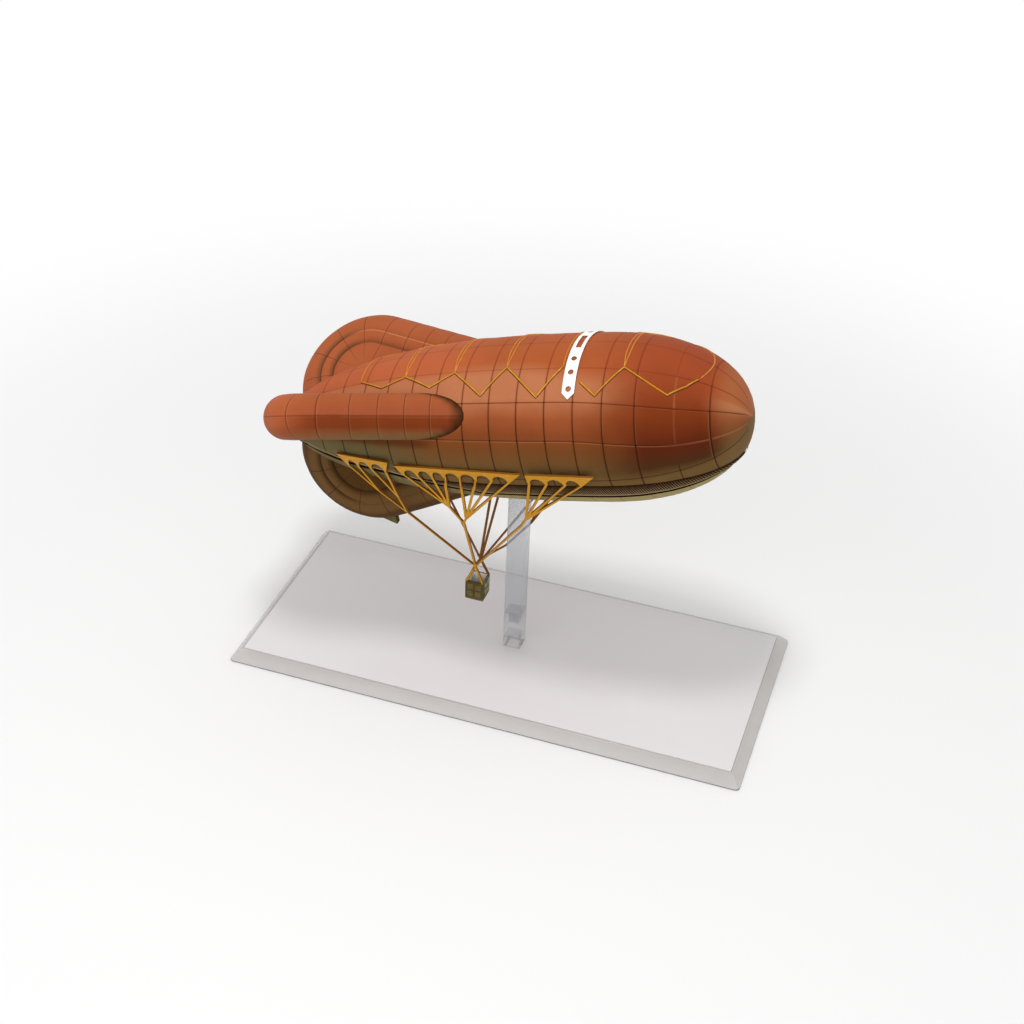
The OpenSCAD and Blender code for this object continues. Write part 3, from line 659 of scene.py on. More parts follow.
def linked(name, data):
    """A new object of the scene."""
    obj = bpy.data.objects.new(name, data)
    bpy.context.scene.collection.objects.link(obj)
    return obj


def store(mesh, layer, values):
    """Stores a named number at each point of a mesh, for its finish to read."""
    mesh.attributes.new(layer, "FLOAT", "POINT").data.foreach_set("value", values)


def smooth_faces(mesh):
    mesh.polygons.foreach_set("use_smooth", [True] * len(mesh.polygons))


def make_object(name, vertices, faces, material, layers, distance):
    """A welded mesh object from points in the envelope's frame, faces and numbers stored at the points."""
    mesh = bpy.data.meshes.new(name)
    mesh.from_pydata([tuple(v) for v in vertices], [], faces)
    mesh.transform(envelope_matrix())
    for layer, values in layers.items():
        store(mesh, layer, values)
    mesh.materials.append(material)
    mesh.validate()
    smooth_faces(mesh)
    work = bmesh.new()
    work.from_mesh(mesh)
    bmesh.ops.remove_doubles(work, verts=work.verts, dist=distance)
    bmesh.ops.recalc_face_normals(work, faces=work.faces)
    work.to_mesh(mesh)
    work.free()
    return linked(name, mesh)


def grid_faces(rows, columns):
    """Quads between the points of a grid."""
    return [(i * columns + j, i * columns + j + 1, (i + 1) * columns + j + 1, (i + 1) * columns + j)
            for i in range(rows - 1) for j in range(columns - 1)]


def apply_modifiers(obj):
    """Gives an object the mesh that its modifiers make of it."""
    bpy.context.view_layer.update()
    shaped = obj.evaluated_get(bpy.context.evaluated_depsgraph_get())
    mesh = bpy.data.meshes.new_from_object(shaped)
    obj.modifiers.clear()
    obj.data = mesh
    return obj


def dressed(node, material, round_width, body, slot, smooth_angle=40):
    """A copy of a CAD node with its flat faces joined and its edges rounded, which stands for the node.

    Edges sharper than the smooth angle, in degrees, stay sharp in the shading."""
    obj = linked(node + "_finished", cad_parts[node].data.copy())
    work = bmesh.new()
    work.from_mesh(obj.data)
    bmesh.ops.remove_doubles(work, verts=work.verts, dist=SKIN_WELD)
    bmesh.ops.dissolve_limit(work, angle_limit=FLAT_ANGLE, verts=work.verts, edges=work.edges)
    work.to_mesh(obj.data)
    work.free()
    if "custom_normal" in obj.data.attributes:
        obj.data.attributes.remove(obj.data.attributes["custom_normal"])
    if round_width:
        bevel = obj.modifiers.new("round", "BEVEL")
        bevel.width = round_width
        bevel.segments = 2
        bevel.limit_method = "ANGLE"
        bevel.angle_limit = EDGE_ANGLE
        bevel.use_clamp_overlap = True
        apply_modifiers(obj)
    obj.data.materials.clear()
    obj.data.materials.append(material)
    smooth_faces(obj.data)
    obj.data.set_sharp_from_angle(angle=math.radians(smooth_angle))
    return settle(obj, body, slot, node)


def settle(obj, body, slot, *nodes):
    """A piece rides on its body and stands for its CAD nodes, which are hidden; the slot is not used."""
    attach(obj, body)
    if nodes:
        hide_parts(*nodes)
    return obj


# Envelope


def smooth_step(value, low, high):
    t = min(1.0, max(0.0, (value - low) / (high - low)))
    return t * t * (3 - 2 * t)


def radius_at(x, inset=0.0):
    """Radius of the envelope at a distance ahead of the pegs' line, less an inset."""
    s = settings("envelope")
    tip = s.fore_length - inset
    shoulder = s.fore_length - s.nose_length
    tail = s.fore_length - s.envelope_length + inset
    r = s.diameter / 2 - inset
    if x >= tip or x <= tail:
        return 0.0
    if x > shoulder:
        return r * (1 - ((x - shoulder) / (tip - shoulder)) ** NOSE_POWER) ** (1 / NOSE_POWER)
    return r * (1 - ((shoulder - x) / (shoulder - tail)) ** TAIL_POWER) ** TAIL_CLOSE


def envelope_matrix():
    """The envelope's own frame: its origin is where the axis crosses the line of the pegs."""
    s = settings("envelope")
    stations = [s.fore_length - s.envelope_length * i / 400 for i in range(1, 400)]
    top = max(x * math.sin(s.pitch) + radius_at(x) * math.cos(s.pitch) for x in stations)
    axis_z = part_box("upper_shell")[1].z - top
    return Matrix.Translation((0, 0, axis_z)) @ Matrix.Rotation(-s.pitch, 4, "Y")


# Distances behind the nose of the ring seams
RING_SEAMS = [back * MM for back in (9.7, 20.2, 32.7, 43.6)] + [(53.7 + 10.1 * i) * MM for i in range(12)]
# A seam is three rows of points; the plain rows start this many half widths from its middle
SEAM_CLEAR = 2.2
# Radii of the envelope between which its seams fade out at the tips
SEAM_FADE = (2 * MM, 8 * MM)
# Powers by which the rows of points crowd towards the two tips
NOSE_CROWD = 2
TAIL_CROWD = 1.6
# Long seams above the parting line: angle above the side aft, and at the nose
LONG_SEAMS = [(-16.7, -16.3), (14, 7), (39.5, 35), (63.7, 61.8), (90, 90)]

# The parting line in side view: distance behind the nose and height above the axis, in millimetres
PARTING = [(0, -12), (8, -13.1), (15, -14.5), (25, -15.8), (36, -16.5), (93, -16.5), (127, -8.91),
           (150, -5.8), (162, -3.2), (178, -3.2)]


def parting_height(back):
    """Height of the parting line above the axis at a distance behind the nose, both in metres."""
    back /= MM
    for (a, low), (b, high) in zip(PARTING, PARTING[1:]):
        if back <= b:
            return (low + (high - low) * (back - a) / (b - a)) * MM
    return PARTING[-1][1] * MM


def parting_angle(x, radius):
    """Angle above the side at which the parting line crosses a station."""
    drop = parting_height(settings("envelope").fore_length - x)
    return math.degrees(math.asin(max(-1.0, drop / radius))) if radius > 0 else -90.0


def seam_angles(x):
    """Angles of the long seams at a station, right side to left, which change over the nose."""
    back = settings("envelope").fore_length - x
    t = 1 - smooth_step(back, 0.008, 0.06)
    half = [aft + (nose - aft) * t for aft, nose in LONG_SEAMS]
    return half + [180 - a for a in reversed(half[:-1])]


def spread(marks, lips, counts):
    """Values from the first mark to the last, closer together round each inner mark.

    Gives each value with the number of the mark that it belongs to or None, its steps away from that
    mark, and its share of the way between marks."""
    out = [(marks[0], None, 0, 0.0)]
    for k, (a, b) in enumerate(zip(marks, marks[1:])):
        first = k > 0
        last = k < len(marks) - 2
        start = a + (lips[1] if first else 0)
        stop = b - (lips[1] if last else 0)
        steps = counts if isinstance(counts, int) else counts[k]
        out += [(start + (stop - start) * i / steps, None, 0, i / steps)
                for i in range(0 if first else 1, steps + (1 if last else 0))]
        if last:
            out += [(b - lips[0], k, -1, 1.0), (b, k, 0, 0.5), (b + lips[0], k, 1, 0.0)]
    out.append((marks[-1], None, 0, 1.0))
    return out


def station_rows(steps):
    """Stations from nose to tail, close together at both ends and round each ring seam."""
    s = settings("envelope")
    marks = [0.0] + RING_SEAMS + [s.envelope_length]
    rows = spread(marks, (s.seam_width, SEAM_CLEAR * s.seam_width), steps)
    first = marks[1]
    last = s.envelope_length - marks[-2]
    out = []
    for back, ring, step, part in rows:
        if back < first - 3 * s.seam_width:
            back = first * (back / first) ** NOSE_CROWD
        if back > s.envelope_length - last + 3 * s.seam_width:
            back = s.envelope_length - last * ((s.envelope_length - back) / last) ** TAIL_CROWD
        out.append((back, ring, step, part))
    return out


def between(value, low, high, soft):
    """1 between low and high, falling to 0 over a soft edge outside."""
    return smooth_step(value, low - soft, low) * (1 - smooth_step(value, high, high + soft))


def ring_line(ring, step, above):
    """How dark a ring seam's wash is and how strong its painted highlight is, at a step from its middle and
    degrees above the side.
    """
    if ring == 1:
        dark = (1 - smooth_step(above, -14, -8)) * 0.9 + smooth_step(above, 60, 70) * 0.3
        light = between(above, 38, 61, 3) * 0.4 + between(above, 12, 38, 8) * 0.25
        return (dark, light) if step == 0 else (0.0, light * 0.3)
    dark = 0.95 - 0.3 * smooth_step(above, 55, 75)
    if step == 0:
        return dark, 0.0
    fore = {2: between(above, 12, 62, 6) * 0.45, 3: between(above, 22, 62, 8) * 0.5}.get(ring, 0.1)
    aft = 0.2 + 0.5 * (1 - smooth_step(above, 30, 42)) if ring == 0 else 0.08
    return 0.25 * dark, fore if step < 0 else aft


def long_line(seam, step, back):
    """How dark a long seam's wash is and how strong its painted highlight is; step is counted upwards, back
    is in metres.
    """
    nose = 1 - smooth_step(back, 0.012, 0.03)
    if seam == 1:
        if step == 0:
            return 0.7 * (1 - nose), 0.5 * nose
        return 0.0, 0.55 - 0.25 * nose if step < 0 else 0.0
    dark = {0: 0.85, 2: 0.85, 3: 0.4 + 0.3 * nose, 4: 0.4 + 0.35 * nose}[seam]
    light = 0.2 if seam in (0, 2) and step < 0 else 0.0
    return (dark, 0.0) if step == 0 else (0.1 * dark, light)


def pressed(ring, ring_step, seam, seam_step):
    """Whether a point lies in the middle of a ring seam or a long seam."""
    return (ring is not None and ring_step == 0) or (seam is not None and seam_step == 0)


def skin(name, material, limits, marks_at, inset, steps, columns, paint):
    """A seamed skin between two angles at each station, as a grid with its seams pressed in.

    The seams fade out where the envelope closes at its tips."""
    s = settings("envelope")
    points = []
    layers = {"dark": [], "light": []}
    rows = station_rows(steps)
    for back, ring, ring_step, part in rows:
        x = s.fore_length - back
        radius = radius_at(x, inset)
        low, high = limits(x, radius)
        lip = min(2.0, math.degrees(s.seam_width / max(radius, 0.0006)))
        line = spread([low] + list(marks_at(x)) + [high], (lip, SEAM_CLEAR * lip), columns)
        whole = smooth_step(radius, *SEAM_FADE)
        for a, seam, seam_step, share_across in line:
            dark, light = paint(back, a, ring, ring_step, seam, seam_step)
            cut = pressed(ring, ring_step, seam, seam_step)
            plain = seam is None and ring is None
            drawn = max((2 * part - 1) ** 2, (2 * share_across - 1) ** 2) if plain else 1.0
            r = max(0.0, radius - (s.seam_depth * cut + s.pillow * drawn) * whole)
            points.append((x, -r * math.cos(math.radians(a)), r * math.sin(math.radians(a))))
            layers["dark"].append(min(1.0, dark) * whole)
            layers["light"].append(min(1.0, light) * whole)
    return make_object(name, points, grid_faces(len(rows), len(line)), material, layers, SKIN_WELD)


def upper_skin(material):
    """The upper shell's skin, from one parting line over the back to the other."""
    def limits(x, radius):
        low = parting_angle(x, radius)
        return low, 180 - low

    def paint(back, a, ring, ring_step, seam, seam_step):
        near = a if a <= 90 else 180 - a
        up = seam_step if a <= 90 else -seam_step
        lines = [(0.0, 0.0)]
        if ring is not None:
            lines.append(ring_line(ring, ring_step, near))
        if seam is not None:
            lines.append(long_line(min(seam, 8 - seam), up, back))
        dark = sum(dark for dark, light in lines)
        return dark, max(light for dark, light in lines) * (1 - min(1.0, 1.4 * dark))
    return skin("envelope_skin", material, limits, seam_angles, 0.0, 7, [3, 7, 6, 6, 6, 6, 6, 6, 7, 3], paint)


def belly_skin(material):
    """The belly's skin under the parting line, with three long seams."""
    s = settings("envelope")

    def limits(x, radius):
        low = parting_angle(x, radius)
        return -180 - low, low

    def marks(x):
        half = -90 - parting_angle(x, radius_at(x, s.belly_step))
        return sorted((-90 + half * 0.36, -90, -90 - half * 0.36))

    def paint(back, a, ring, ring_step, seam, seam_step):
        return 0.9 * pressed(ring, ring_step, seam, seam_step), 0.0
    return skin("belly_skin", material, limits, marks, s.belly_step, 5, [10, 6, 6, 10], paint)


# Tail lobes


# Cross seams of the lobes: length along the rim from where it turns straight, in millimetres
NEAR_LOBE_SEAMS = [-38, -29, -19.5, -10.25, -2, 8.75, 18.5, 27.75, 36.5]
FAR_LOBE_SEAMS = [-38, -28, -18, -8.25, 1.75, 11.75, 19.5, 27.5, 36]
RUDDER_SEAMS = [-41, -31.5, -22, -10.5, 0, 7.5, 17.5, 27, 36.5]
# How far round the end a lobe's rim runs
LOBE_TURN = math.radians(150)
# Half width and depth of the line pressed in at a ring's inner edge, and the cut of the seam along the rim
PRESSED = 0.3 * MM
RIM_CUT = 0.06 * MM
RIM_CUT_EDGE = 0.01 * MM


def lobe_edges():
    """Distances from a lobe's centre to the second ring's inner edge and to where it meets the rim."""
    s = settings("lobes")
    rim = s.thickness / 2
    ring = rim - s.ring_drop
    edge = s.rim_radius - s.ring_step - math.sqrt(ring ** 2 - s.flat ** 2)
    meet = s.rim_radius - (s.ring_drop * (2 * rim - s.ring_drop) + s.ring_step ** 2) / (2 * s.ring_step)
    return edge, meet


def lobe_height(u):
    """Half height of a lobe's section at a distance from its centre."""
    s = settings("lobes")
    rim = s.thickness / 2
    ring = rim - s.ring_drop
    a = u - s.rim_radius
    b = a + s.ring_step
    outer = math.sqrt(rim * rim - a * a) if abs(a) < rim else 0.0
    inner = math.sqrt(ring * ring - b * b) if abs(b) < ring else 0.0
    flat = s.flat if u < s.rim_radius else 0.0
    return max(outer, inner, flat)


def lobe_profile():
    """Distance from the centre, half height and crease of one face of a lobe, from its centre to its edge."""
    s = settings("lobes")
    rim = s.thickness / 2
    edge, meet = lobe_edges()
    fore, aft, rest = edge - PRESSED, edge + PRESSED, meet + PRESSED
    out = [(edge * i / 6, s.flat, 0.0) for i in range(6)]
    out += [(fore, s.flat, 0.0), (edge, s.flat - PRESSED, 1.0), (aft, lobe_height(aft), 0.0)]
    inner = [aft + (meet - edge - 2 * PRESSED) * i / 8 for i in range(1, 9)]
    out += [(u, lobe_height(u), 0.0) for u in inner]
    out += [(meet, lobe_height(meet) - 0.6 * PRESSED, 1.0), (rest, lobe_height(rest), 0.0)]
    start = math.degrees(math.asin((rest - s.rim_radius) / rim))
    turns = [math.radians(start + (90 - start) * i / 16) for i in range(1, 17)]
    return out + [(s.rim_radius + rim * math.sin(t), rim * math.cos(t), 0.0) for t in turns]


def lobe_shade(u, along, crease):
    """Painted shade, a painted highlight line and a dark line that is partly painted shade, in a lobe's two
    creases, at a length along its rim.
    """
    edge, meet = lobe_edges()
    aft = 1 - smooth_step(along, -0.02, -0.006)
    shades = [
        smooth_step(u, mark - inside, mark) * (1 - smooth_step(u, mark, mark + outside)) * strength
        for mark, inside, outside, strength in (
            (meet, 0.5 * MM, 2.4 * MM, 0.06 + 0.74 * aft), (edge, 0.4 * MM, 2.2 * MM, 0.4 + 0.4 * aft))]
    at_meet = crease and u > (edge + meet) / 2
    light = (1 - aft) * at_meet
    dark = crease * (0.75 * aft if at_meet else 0.35 + 0.4 * aft)
    return max(shades), light, dark


def lobe_skin(name, material, turn, centre, seams):
    """A lobe with cross seams at lengths along its rim, turned round its end and run into the envelope."""
    s = settings("lobes")
    e = settings("envelope")
    half = lobe_profile()
    crown = half[-1][0]
    low_half = [(u, -h, crease) for u, h, crease in reversed(half[:-1])]
    lip = crown - RIM_CUT_EDGE
    section = half[:-1] + [(lip, PRESSED, 0.0), (crown - RIM_CUT, 0.0, 2.0), (lip, -PRESSED, 0.0)] + low_half
    marks = [-LOBE_TURN * s.rim_radius] + [m * MM for m in seams] + [s.run]
    rows = spread(marks, (e.seam_width, SEAM_CLEAR * e.seam_width), 9)
    x0 = e.fore_length - s.back
    points = []
    layers = {key: [] for key in ("dark", "light", "shade", "face", "run", "near_body", "crown")}
    for along, seam, step, part in rows:
        cut = seam is not None and step == 0
        fore_lip = seam is not None and step > 0
        drop = e.seam_depth * cut + e.pillow * (2 * part - 1) ** 2
        scale = 1 - drop / (s.thickness / 2)
        for u, h, crease in section:
            px, out = lobe_place(along, u if u < s.rim_radius else s.rim_radius + (u - s.rim_radius) * scale)
            spot = lobe_point(x0 + px, centre + out, h * scale, turn)
            points.append(spot)
            # shade and light carry painted shade and painted highlights; dark carries the seams and painted
            # shade in the creases
            shade, light, dark = lobe_shade(u, along, crease == 1.0)
            layers["dark"].append(max(dark, 0.9 * (cut and u > 0.004), 0.8 * (crease == 2.0)))
            layers["light"].append(max(light, 0.18 * fore_lip))
            layers["shade"].append(shade)
            layers["face"].append(math.copysign(1, turn) * h / (s.thickness / 2))
            layers["run"].append(along)
            clear = math.hypot(spot[1], spot[2]) - radius_at(spot[0])
            layers["near_body"].append(1 - smooth_step(clear, 0.0001, 0.0018))
            layers["crown"].append(smooth_step(abs(h), s.flat, s.thickness / 2) * (u > lobe_edges()[0]))
    return make_object(name, points, grid_faces(len(rows), len(section)), material, layers, LOBE_WELD)


def lobe_place(along, u):
    """Place in a lobe's plane, from a length along its rim and a distance from its centre."""
    s = settings("lobes")
    if along >= 0:
        return (u * math.sin(s.slope) + along * math.cos(s.slope),
                u * math.cos(s.slope) - along * math.sin(s.slope))
    a = math.pi / 2 - s.slope - along / s.rim_radius
    return u * math.cos(a), u * math.sin(a)


def lobe_point(x, out, side, turn):
    """A place in a lobe's plane, in the envelope's frame; turn is from straight up towards the right."""
    return (x, -out * math.sin(turn) + side * math.cos(turn), out * math.cos(turn) + side * math.sin(turn))


# Cords and laced bands


# The girdle's corners: distance behind the nose in millimetres and angle above the side
GIRDLE_AFT = [(137.4, 65.6), (127.4, 55.8), (118.2, 63.8), (107.4, 52.6), (98.6, 63.6),
              (87.3, 44.8), (79.1, 65.6), (66.8, 43), (58.7, 65)]
GIRDLE_FORE = [(52.2, 54), (46.1, 43.6), (37.4, 64.8), (22.4, 46), (17, 54.9), (13.3, 65.5)]
# Cords over the back: the corner that each starts from, and whether it is double
STRAPS = [(GIRDLE_AFT[0], False), (GIRDLE_AFT[2], True), (GIRDLE_AFT[4], True), (GIRDLE_AFT[6], True),
          (GIRDLE_AFT[8], False), (GIRDLE_FORE[2], True)]
# The bow ahead of the girdle: distance behind the nose at its middle, and its bend
BOW_BACK = 10.8
BOW_BEND = 0.0042
# Where three legs of a middle web cross the laced band: both ends of each, as distance and angle
BAND_LEGS = [[(104.2, -16.2), (106.2, -30.2)], [(98.3, -14.8), (100.7, -31.9)], [(92.8, -18), (95.4, -30.6)]]
# The laced band in millimetres: where it starts and its height, and its laces' slant, pitch, foot and rise
BAND_FIRST = 3.2
BAND_HEIGHT = 5.5
LACE_SLANT = 1.5
LACE_PITCH = 0.85
LACE_FOOT = 0.08
LACE_RISE = 0.22
# The bead's height above the parting line, and the painted shadow's below it and its width: a dark strip
# under the upper shell's edge
BEAD_ABOVE = 0.1 * MM
PARTING_SHADOW_BELOW = 1.25 * MM
PARTING_SHADOW_WIDTH = 2.35 * MM
# Painted shadow beside a cord, a dark strip: how wide, and how far its edges stand off the surface
CORD_SHADOW_STRIP = 0.3 * MM
CORD_SHADOW_EDGE = 0.02 * MM
CORD_SHADOW_FOOT = 0.03 * MM


def on_envelope(back, degrees, proud=0.0):
    """A point of the envelope's surface, from a distance behind the nose in millimetres and an angle."""
    x = settings("envelope").fore_length - back * MM
    r = radius_at(x) + proud
    return Vector((x, -r * math.cos(math.radians(degrees)), r * math.sin(math.radians(degrees))))


def laid_route(corners, step=1.0):
    """Points close together between a route's corners, as distance behind the nose and angle."""
    out = []
    for (a, b), (c, d) in zip(corners, corners[1:]):
        n = max(2, int(max(abs(c - a), abs(d - b) / 2) / step))
        out += [(a + (c - a) * i / n, b + (d - b) * i / n) for i in range(n)]
    return out + [corners[-1]]


def laid_cord(name, runs, width, material, rise=0.62, sides=10, proud=0.0, shadow_side=0):
    """Cords moulded on the envelope: an arched section carried along each run, with tapered ends.

    A shadow side of 1 or -1 adds a thin flat strip at that foot, for the dark line of painted shadow under
    the cord."""
    points, faces, wash = [], [], []
    for run in runs:
        path = [on_envelope(*p, proud) for p in run]
        base = len(points)
        n = len(path)
        for i, p in enumerate(path):
            ahead = (path[min(i + 1, n - 1)] - path[max(i - 1, 0)]).normalized()
            up = Vector((0, p.y, p.z)).normalized()
            up = (up - ahead * up.dot(ahead)).normalized()
            over = ahead.cross(up)
            end = 0.25 if i in (0, n - 1) else 1.0
            wide = width * end
            arch = [math.pi * k / sides for k in range(sides + 1)]
            row = [(p + over * (wide / 2 * math.cos(a)) + up * ((rise * math.sin(a) - 0.1) * wide), 0.0)
                   for a in arch]
            # Dark strip at one foot: painted shadow of the cord
            if shadow_side:
                outward = over * shadow_side
                foot = p + outward * (wide / 2)
                edge = [(foot + outward * CORD_SHADOW_STRIP * end + up * CORD_SHADOW_EDGE, 1.0),
                        (foot + up * CORD_SHADOW_FOOT, 1.0)]
                row = edge + row[1:] if shadow_side > 0 else row[:-1] + edge[::-1]
            points += [place for place, tone in row]
            wash += [tone for place, tone in row]
        faces += [tuple(base + v for v in f) for f in grid_faces(n, len(row))]
    return make_object(name, points, faces, material, {"wash": wash}, CORD_WELD)


def strap_runs():
    """The cords over the back: single and double straps and the bow at the nose."""
    s = settings("rigging")
    runs = []
    for (back, start), double in STRAPS:
        for t in ([-0.5, 0.5] if double else [0]):
            off = t * (s.cord_width + s.cord_pair) / MM
            n = 36
            runs.append([(back + off * min(1.0, 4 * min(i, n - i) / n), start + (180 - 2 * start) * i / n)
                         for i in range(n + 1)])
    start = GIRDLE_FORE[-1][1]
    turns = [start + (180 - 2 * start) * i / 16 for i in range(17)]
    return runs + [[(BOW_BACK + BOW_BEND * (90 - a) ** 2, a) for a in turns]]


def side_routes(routes, mirror):
    """Routes laid on the right side, or mirrored to the left."""
    return [[(back, 180 - a if mirror else a) for back, a in laid_route(corners)] for corners in routes]


def lacing_band(name, material, mirror):
    """The laced band above the parting line: slanted laces standing off the envelope."""
    s = settings("envelope")
    (flat_end, flat), (rise_end, risen) = PARTING[5:7]
    last = flat_end + (rise_end - flat_end) * BAND_HEIGHT / (risen - flat)
    n = int((last - BAND_FIRST) / LACE_PITCH * 8)
    across = 10
    side = -1 if mirror else 1
    points, crest = [], []
    for i in range(n + 1):
        back = BAND_FIRST + (last - BAND_FIRST) * i / n
        x = s.fore_length - back * MM
        r = radius_at(x)
        low = parting_height(back * MM)
        high = max(low, (BAND_HEIGHT + flat) * MM)
        for k in range(across + 1):
            t = k / across
            a = math.asin(max(-1.0, (low + (high - low) * t) / r)) if r > 0 else -math.pi / 2
            slid = back - LACE_SLANT * t * (high - low) / (BAND_HEIGHT * MM)
            lace = 0.5 + 0.5 * math.cos(2 * math.pi * slid / LACE_PITCH)
            plain = 1 - smooth_step(t, 0.1, 0.24)
            lace = max(lace * (1 - plain), plain)
            border = 1 - smooth_step(t, 0.94, 1.0)
            lip = smooth_step(t, 0.0, 0.07)
            proud = (LACE_FOOT + LACE_RISE * lace * lip) * MM * border if high > low else 0.0
            points.append((x, -(r + proud) * math.cos(a) * side, (r + proud) * math.sin(a)))
            crest.append(lace * (1 - 0.75 * t) * (1 - 0.8 * smooth_step(t, 0.9, 1.0)))
    return make_object(name, points, grid_faces(n + 1, across + 1), material, {"crest": crest}, CORD_WELD)


def lip_run(mirror, rise):
    """A run along the parting line, at a height above it in metres."""
    e = settings("envelope")
    run = []
    first, last, steps = 7, 171, 140
    for i in range(steps + 1):
        back = first + (last - first) * i / steps
        x = e.fore_length - back * MM
        a = parting_angle(x, radius_at(x)) + math.degrees(rise / max(radius_at(x), 0.004))
        run.append((back, 180 - a if mirror else a))
    return run


def line_rod(work, start, end, width, end_width):
    """Adds a tapered rod between two points."""
    way = end - start
    turn = way.to_track_quat("Z", "Y").to_matrix().to_4x4()
    bmesh.ops.create_cone(
        work, cap_ends=True, segments=10, radius1=width / 2, radius2=end_width / 2, depth=way.length,
        matrix=Matrix.Translation((start + end) / 2) @ turn)


def knot_mesh(side):
    """The crossing of one side's lines: a tapered rod in from each line's end and a small lump."""
    s = settings("rigging")
    low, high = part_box(side + "_knot")
    centre = (low + high) / 2
    radius = (high.x - low.x) / 2
    outer = s.line_width * (1.05 if side == "right" else 1.5)
    work = bmesh.new()
    for part in ("aft_web", "mid_web", "fore_web", "slings"):
        near = [v.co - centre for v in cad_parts[f"{side}_{part}"].data.vertices]
        near = [d for d in near if d.length < 1.2 * radius]
        groups = [near]
        if part == "slings":
            groups = [[d for d in near if d.x < 0], [d for d in near if d.x >= 0]]
        for group in groups:
            if group:
                mean = sum(group, Vector()) / len(group)
                width = s.line_width * 1.15 if part == "slings" else outer
                line_rod(work, centre + mean.normalized() * radius * 1.06, centre, width, s.line_width * 0.9)
    bmesh.ops.create_icosphere(
        work, subdivisions=3, radius=s.line_width * 0.72, matrix=Matrix.Translation(centre))
    mesh = bpy.data.meshes.new(side + "_knot_lines")
    work.to_mesh(mesh)
    work.free()
    return mesh


# Operators


class BALLOON_OT_stand(bpy.types.Operator):
    """Make the bevelled plate, its card and the stack of pegs"""
    bl_idname = "balloon.stand"
    bl_label = "Make Stand"

    def execute(self, context):
        s = settings("stand")
        plate = clear_finish("clear_plate", s.plate_cover, s.plate_tint, s.edge_shade)
        peg = clear_finish("clear_peg", s.peg_cover, s.peg_tint)
        dressed("base_plate", plate, 2 * s.edge_round, "stand", "clear_plastic", 30)
        dressed("base_card", card_finish(), 0.5 * s.edge_round, "stand", "printed_card", 30)
        pegs = {"foot_peg": "stand", "short_peg": "short_peg_body", "tall_peg": "tall_peg_body",
                "stand_socket": "balloon"}
        for node, body in pegs.items():
            dressed(node, peg, s.edge_round, body, "clear_plastic", 30)
        return {"FINISHED"}


class BALLOON_OT_envelope(bpy.types.Operator):
    """Make the seamed upper skin and the belly skin"""
    bl_idname = "balloon.envelope"
    bl_label = "Make Envelope"

    def execute(self, context):
        settle(upper_skin(envelope_finish()), "balloon", "envelope_paint", "upper_shell")
        settle(belly_skin(belly_finish()), "balloon", "belly_paint", "belly_shell")
        return {"FINISHED"}


class BALLOON_OT_lobes(bpy.types.Operator):
    """Make the two side lobes, the rudder lobe and its air scoop"""
    bl_idname = "balloon.lobes"
    bl_label = "Make Tail Lobes"

    def execute(self, context):
        s = settings("lobes")
        near, far = lobe_finish("right_lobe_paint", 0.0, 0.9), lobe_finish("left_lobe_paint", 0.1, 0.1)
        turn = math.pi - s.spread
        lobes = {
            "right_lobe": (near, turn, s.side_centre, NEAR_LOBE_SEAMS),
            "left_lobe": (far, -turn, s.side_centre, FAR_LOBE_SEAMS),
            "rudder_lobe": (rudder_finish(), math.pi, s.rudder_centre, RUDDER_SEAMS)}
        for node, (paint, turned, centre, seams) in lobes.items():
            lobe = lobe_skin(node + "_skin", paint, turned, centre, seams)
            settle(lobe, "balloon", "lobe_paint", node)
        scoop = plain_finish("scoop_paint", settings("envelope").tail_olive)
        dressed("air_scoop", scoop, 0.12 * MM, "balloon", "belly_paint")
        return {"FINISHED"}


class BALLOON_OT_raised_work(bpy.types.Operator):
    """Make the white strip, the laced bands, the beads along the parting line and the girdle"""
    bl_idname = "balloon.raised_work"
    bl_label = "Make Raised Work"

    def execute(self, context):
        s = settings("rigging")
        e = settings("envelope")
        lace = lace_finish()
        gold = cord_finish()
        lip = plain_finish("lip_paint", e.lip, 0.2)
        groove_shadow = plain_finish("groove_shadow_paint", e.groove_shadow)
        dressed("rip_strip", white_finish(), 0.06 * MM, "balloon", "white_paint")
        for side in ("right", "left"):
            left = side == "left"
            settle(lacing_band(side + "_laces", lace, left), "balloon", "belly_paint", side + "_lacing")
            bead = laid_cord(side + "_lip_cord", [lip_run(left, BEAD_ABOVE)], s.lip_width, lip,
                             rise=0.38, sides=8)
            settle(bead, "balloon", "belly_paint")
            # A dark strip under the bead: painted shadow of the upper shell's edge
            line = laid_cord(side + "_parting_shadow", [lip_run(left, -PARTING_SHADOW_BELOW)], PARTING_SHADOW_WIDTH, groove_shadow,
                             rise=0.1, sides=6, proud=-0.2 * e.belly_step)
            settle(line, "balloon", "belly_paint")
            runs = side_routes([GIRDLE_AFT, GIRDLE_FORE], left)
            girdle = laid_cord(side + "_girdle_cord", runs, s.cord_width, gold, shadow_side=-1 if left else 1)
            settle(girdle, "balloon", "gold_paint", side + "_girdle")
        straps = laid_cord("top_girdle_cords", strap_runs(), s.cord_width, gold)
        settle(straps, "balloon", "gold_paint", "top_girdle")
        return {"FINISHED"}


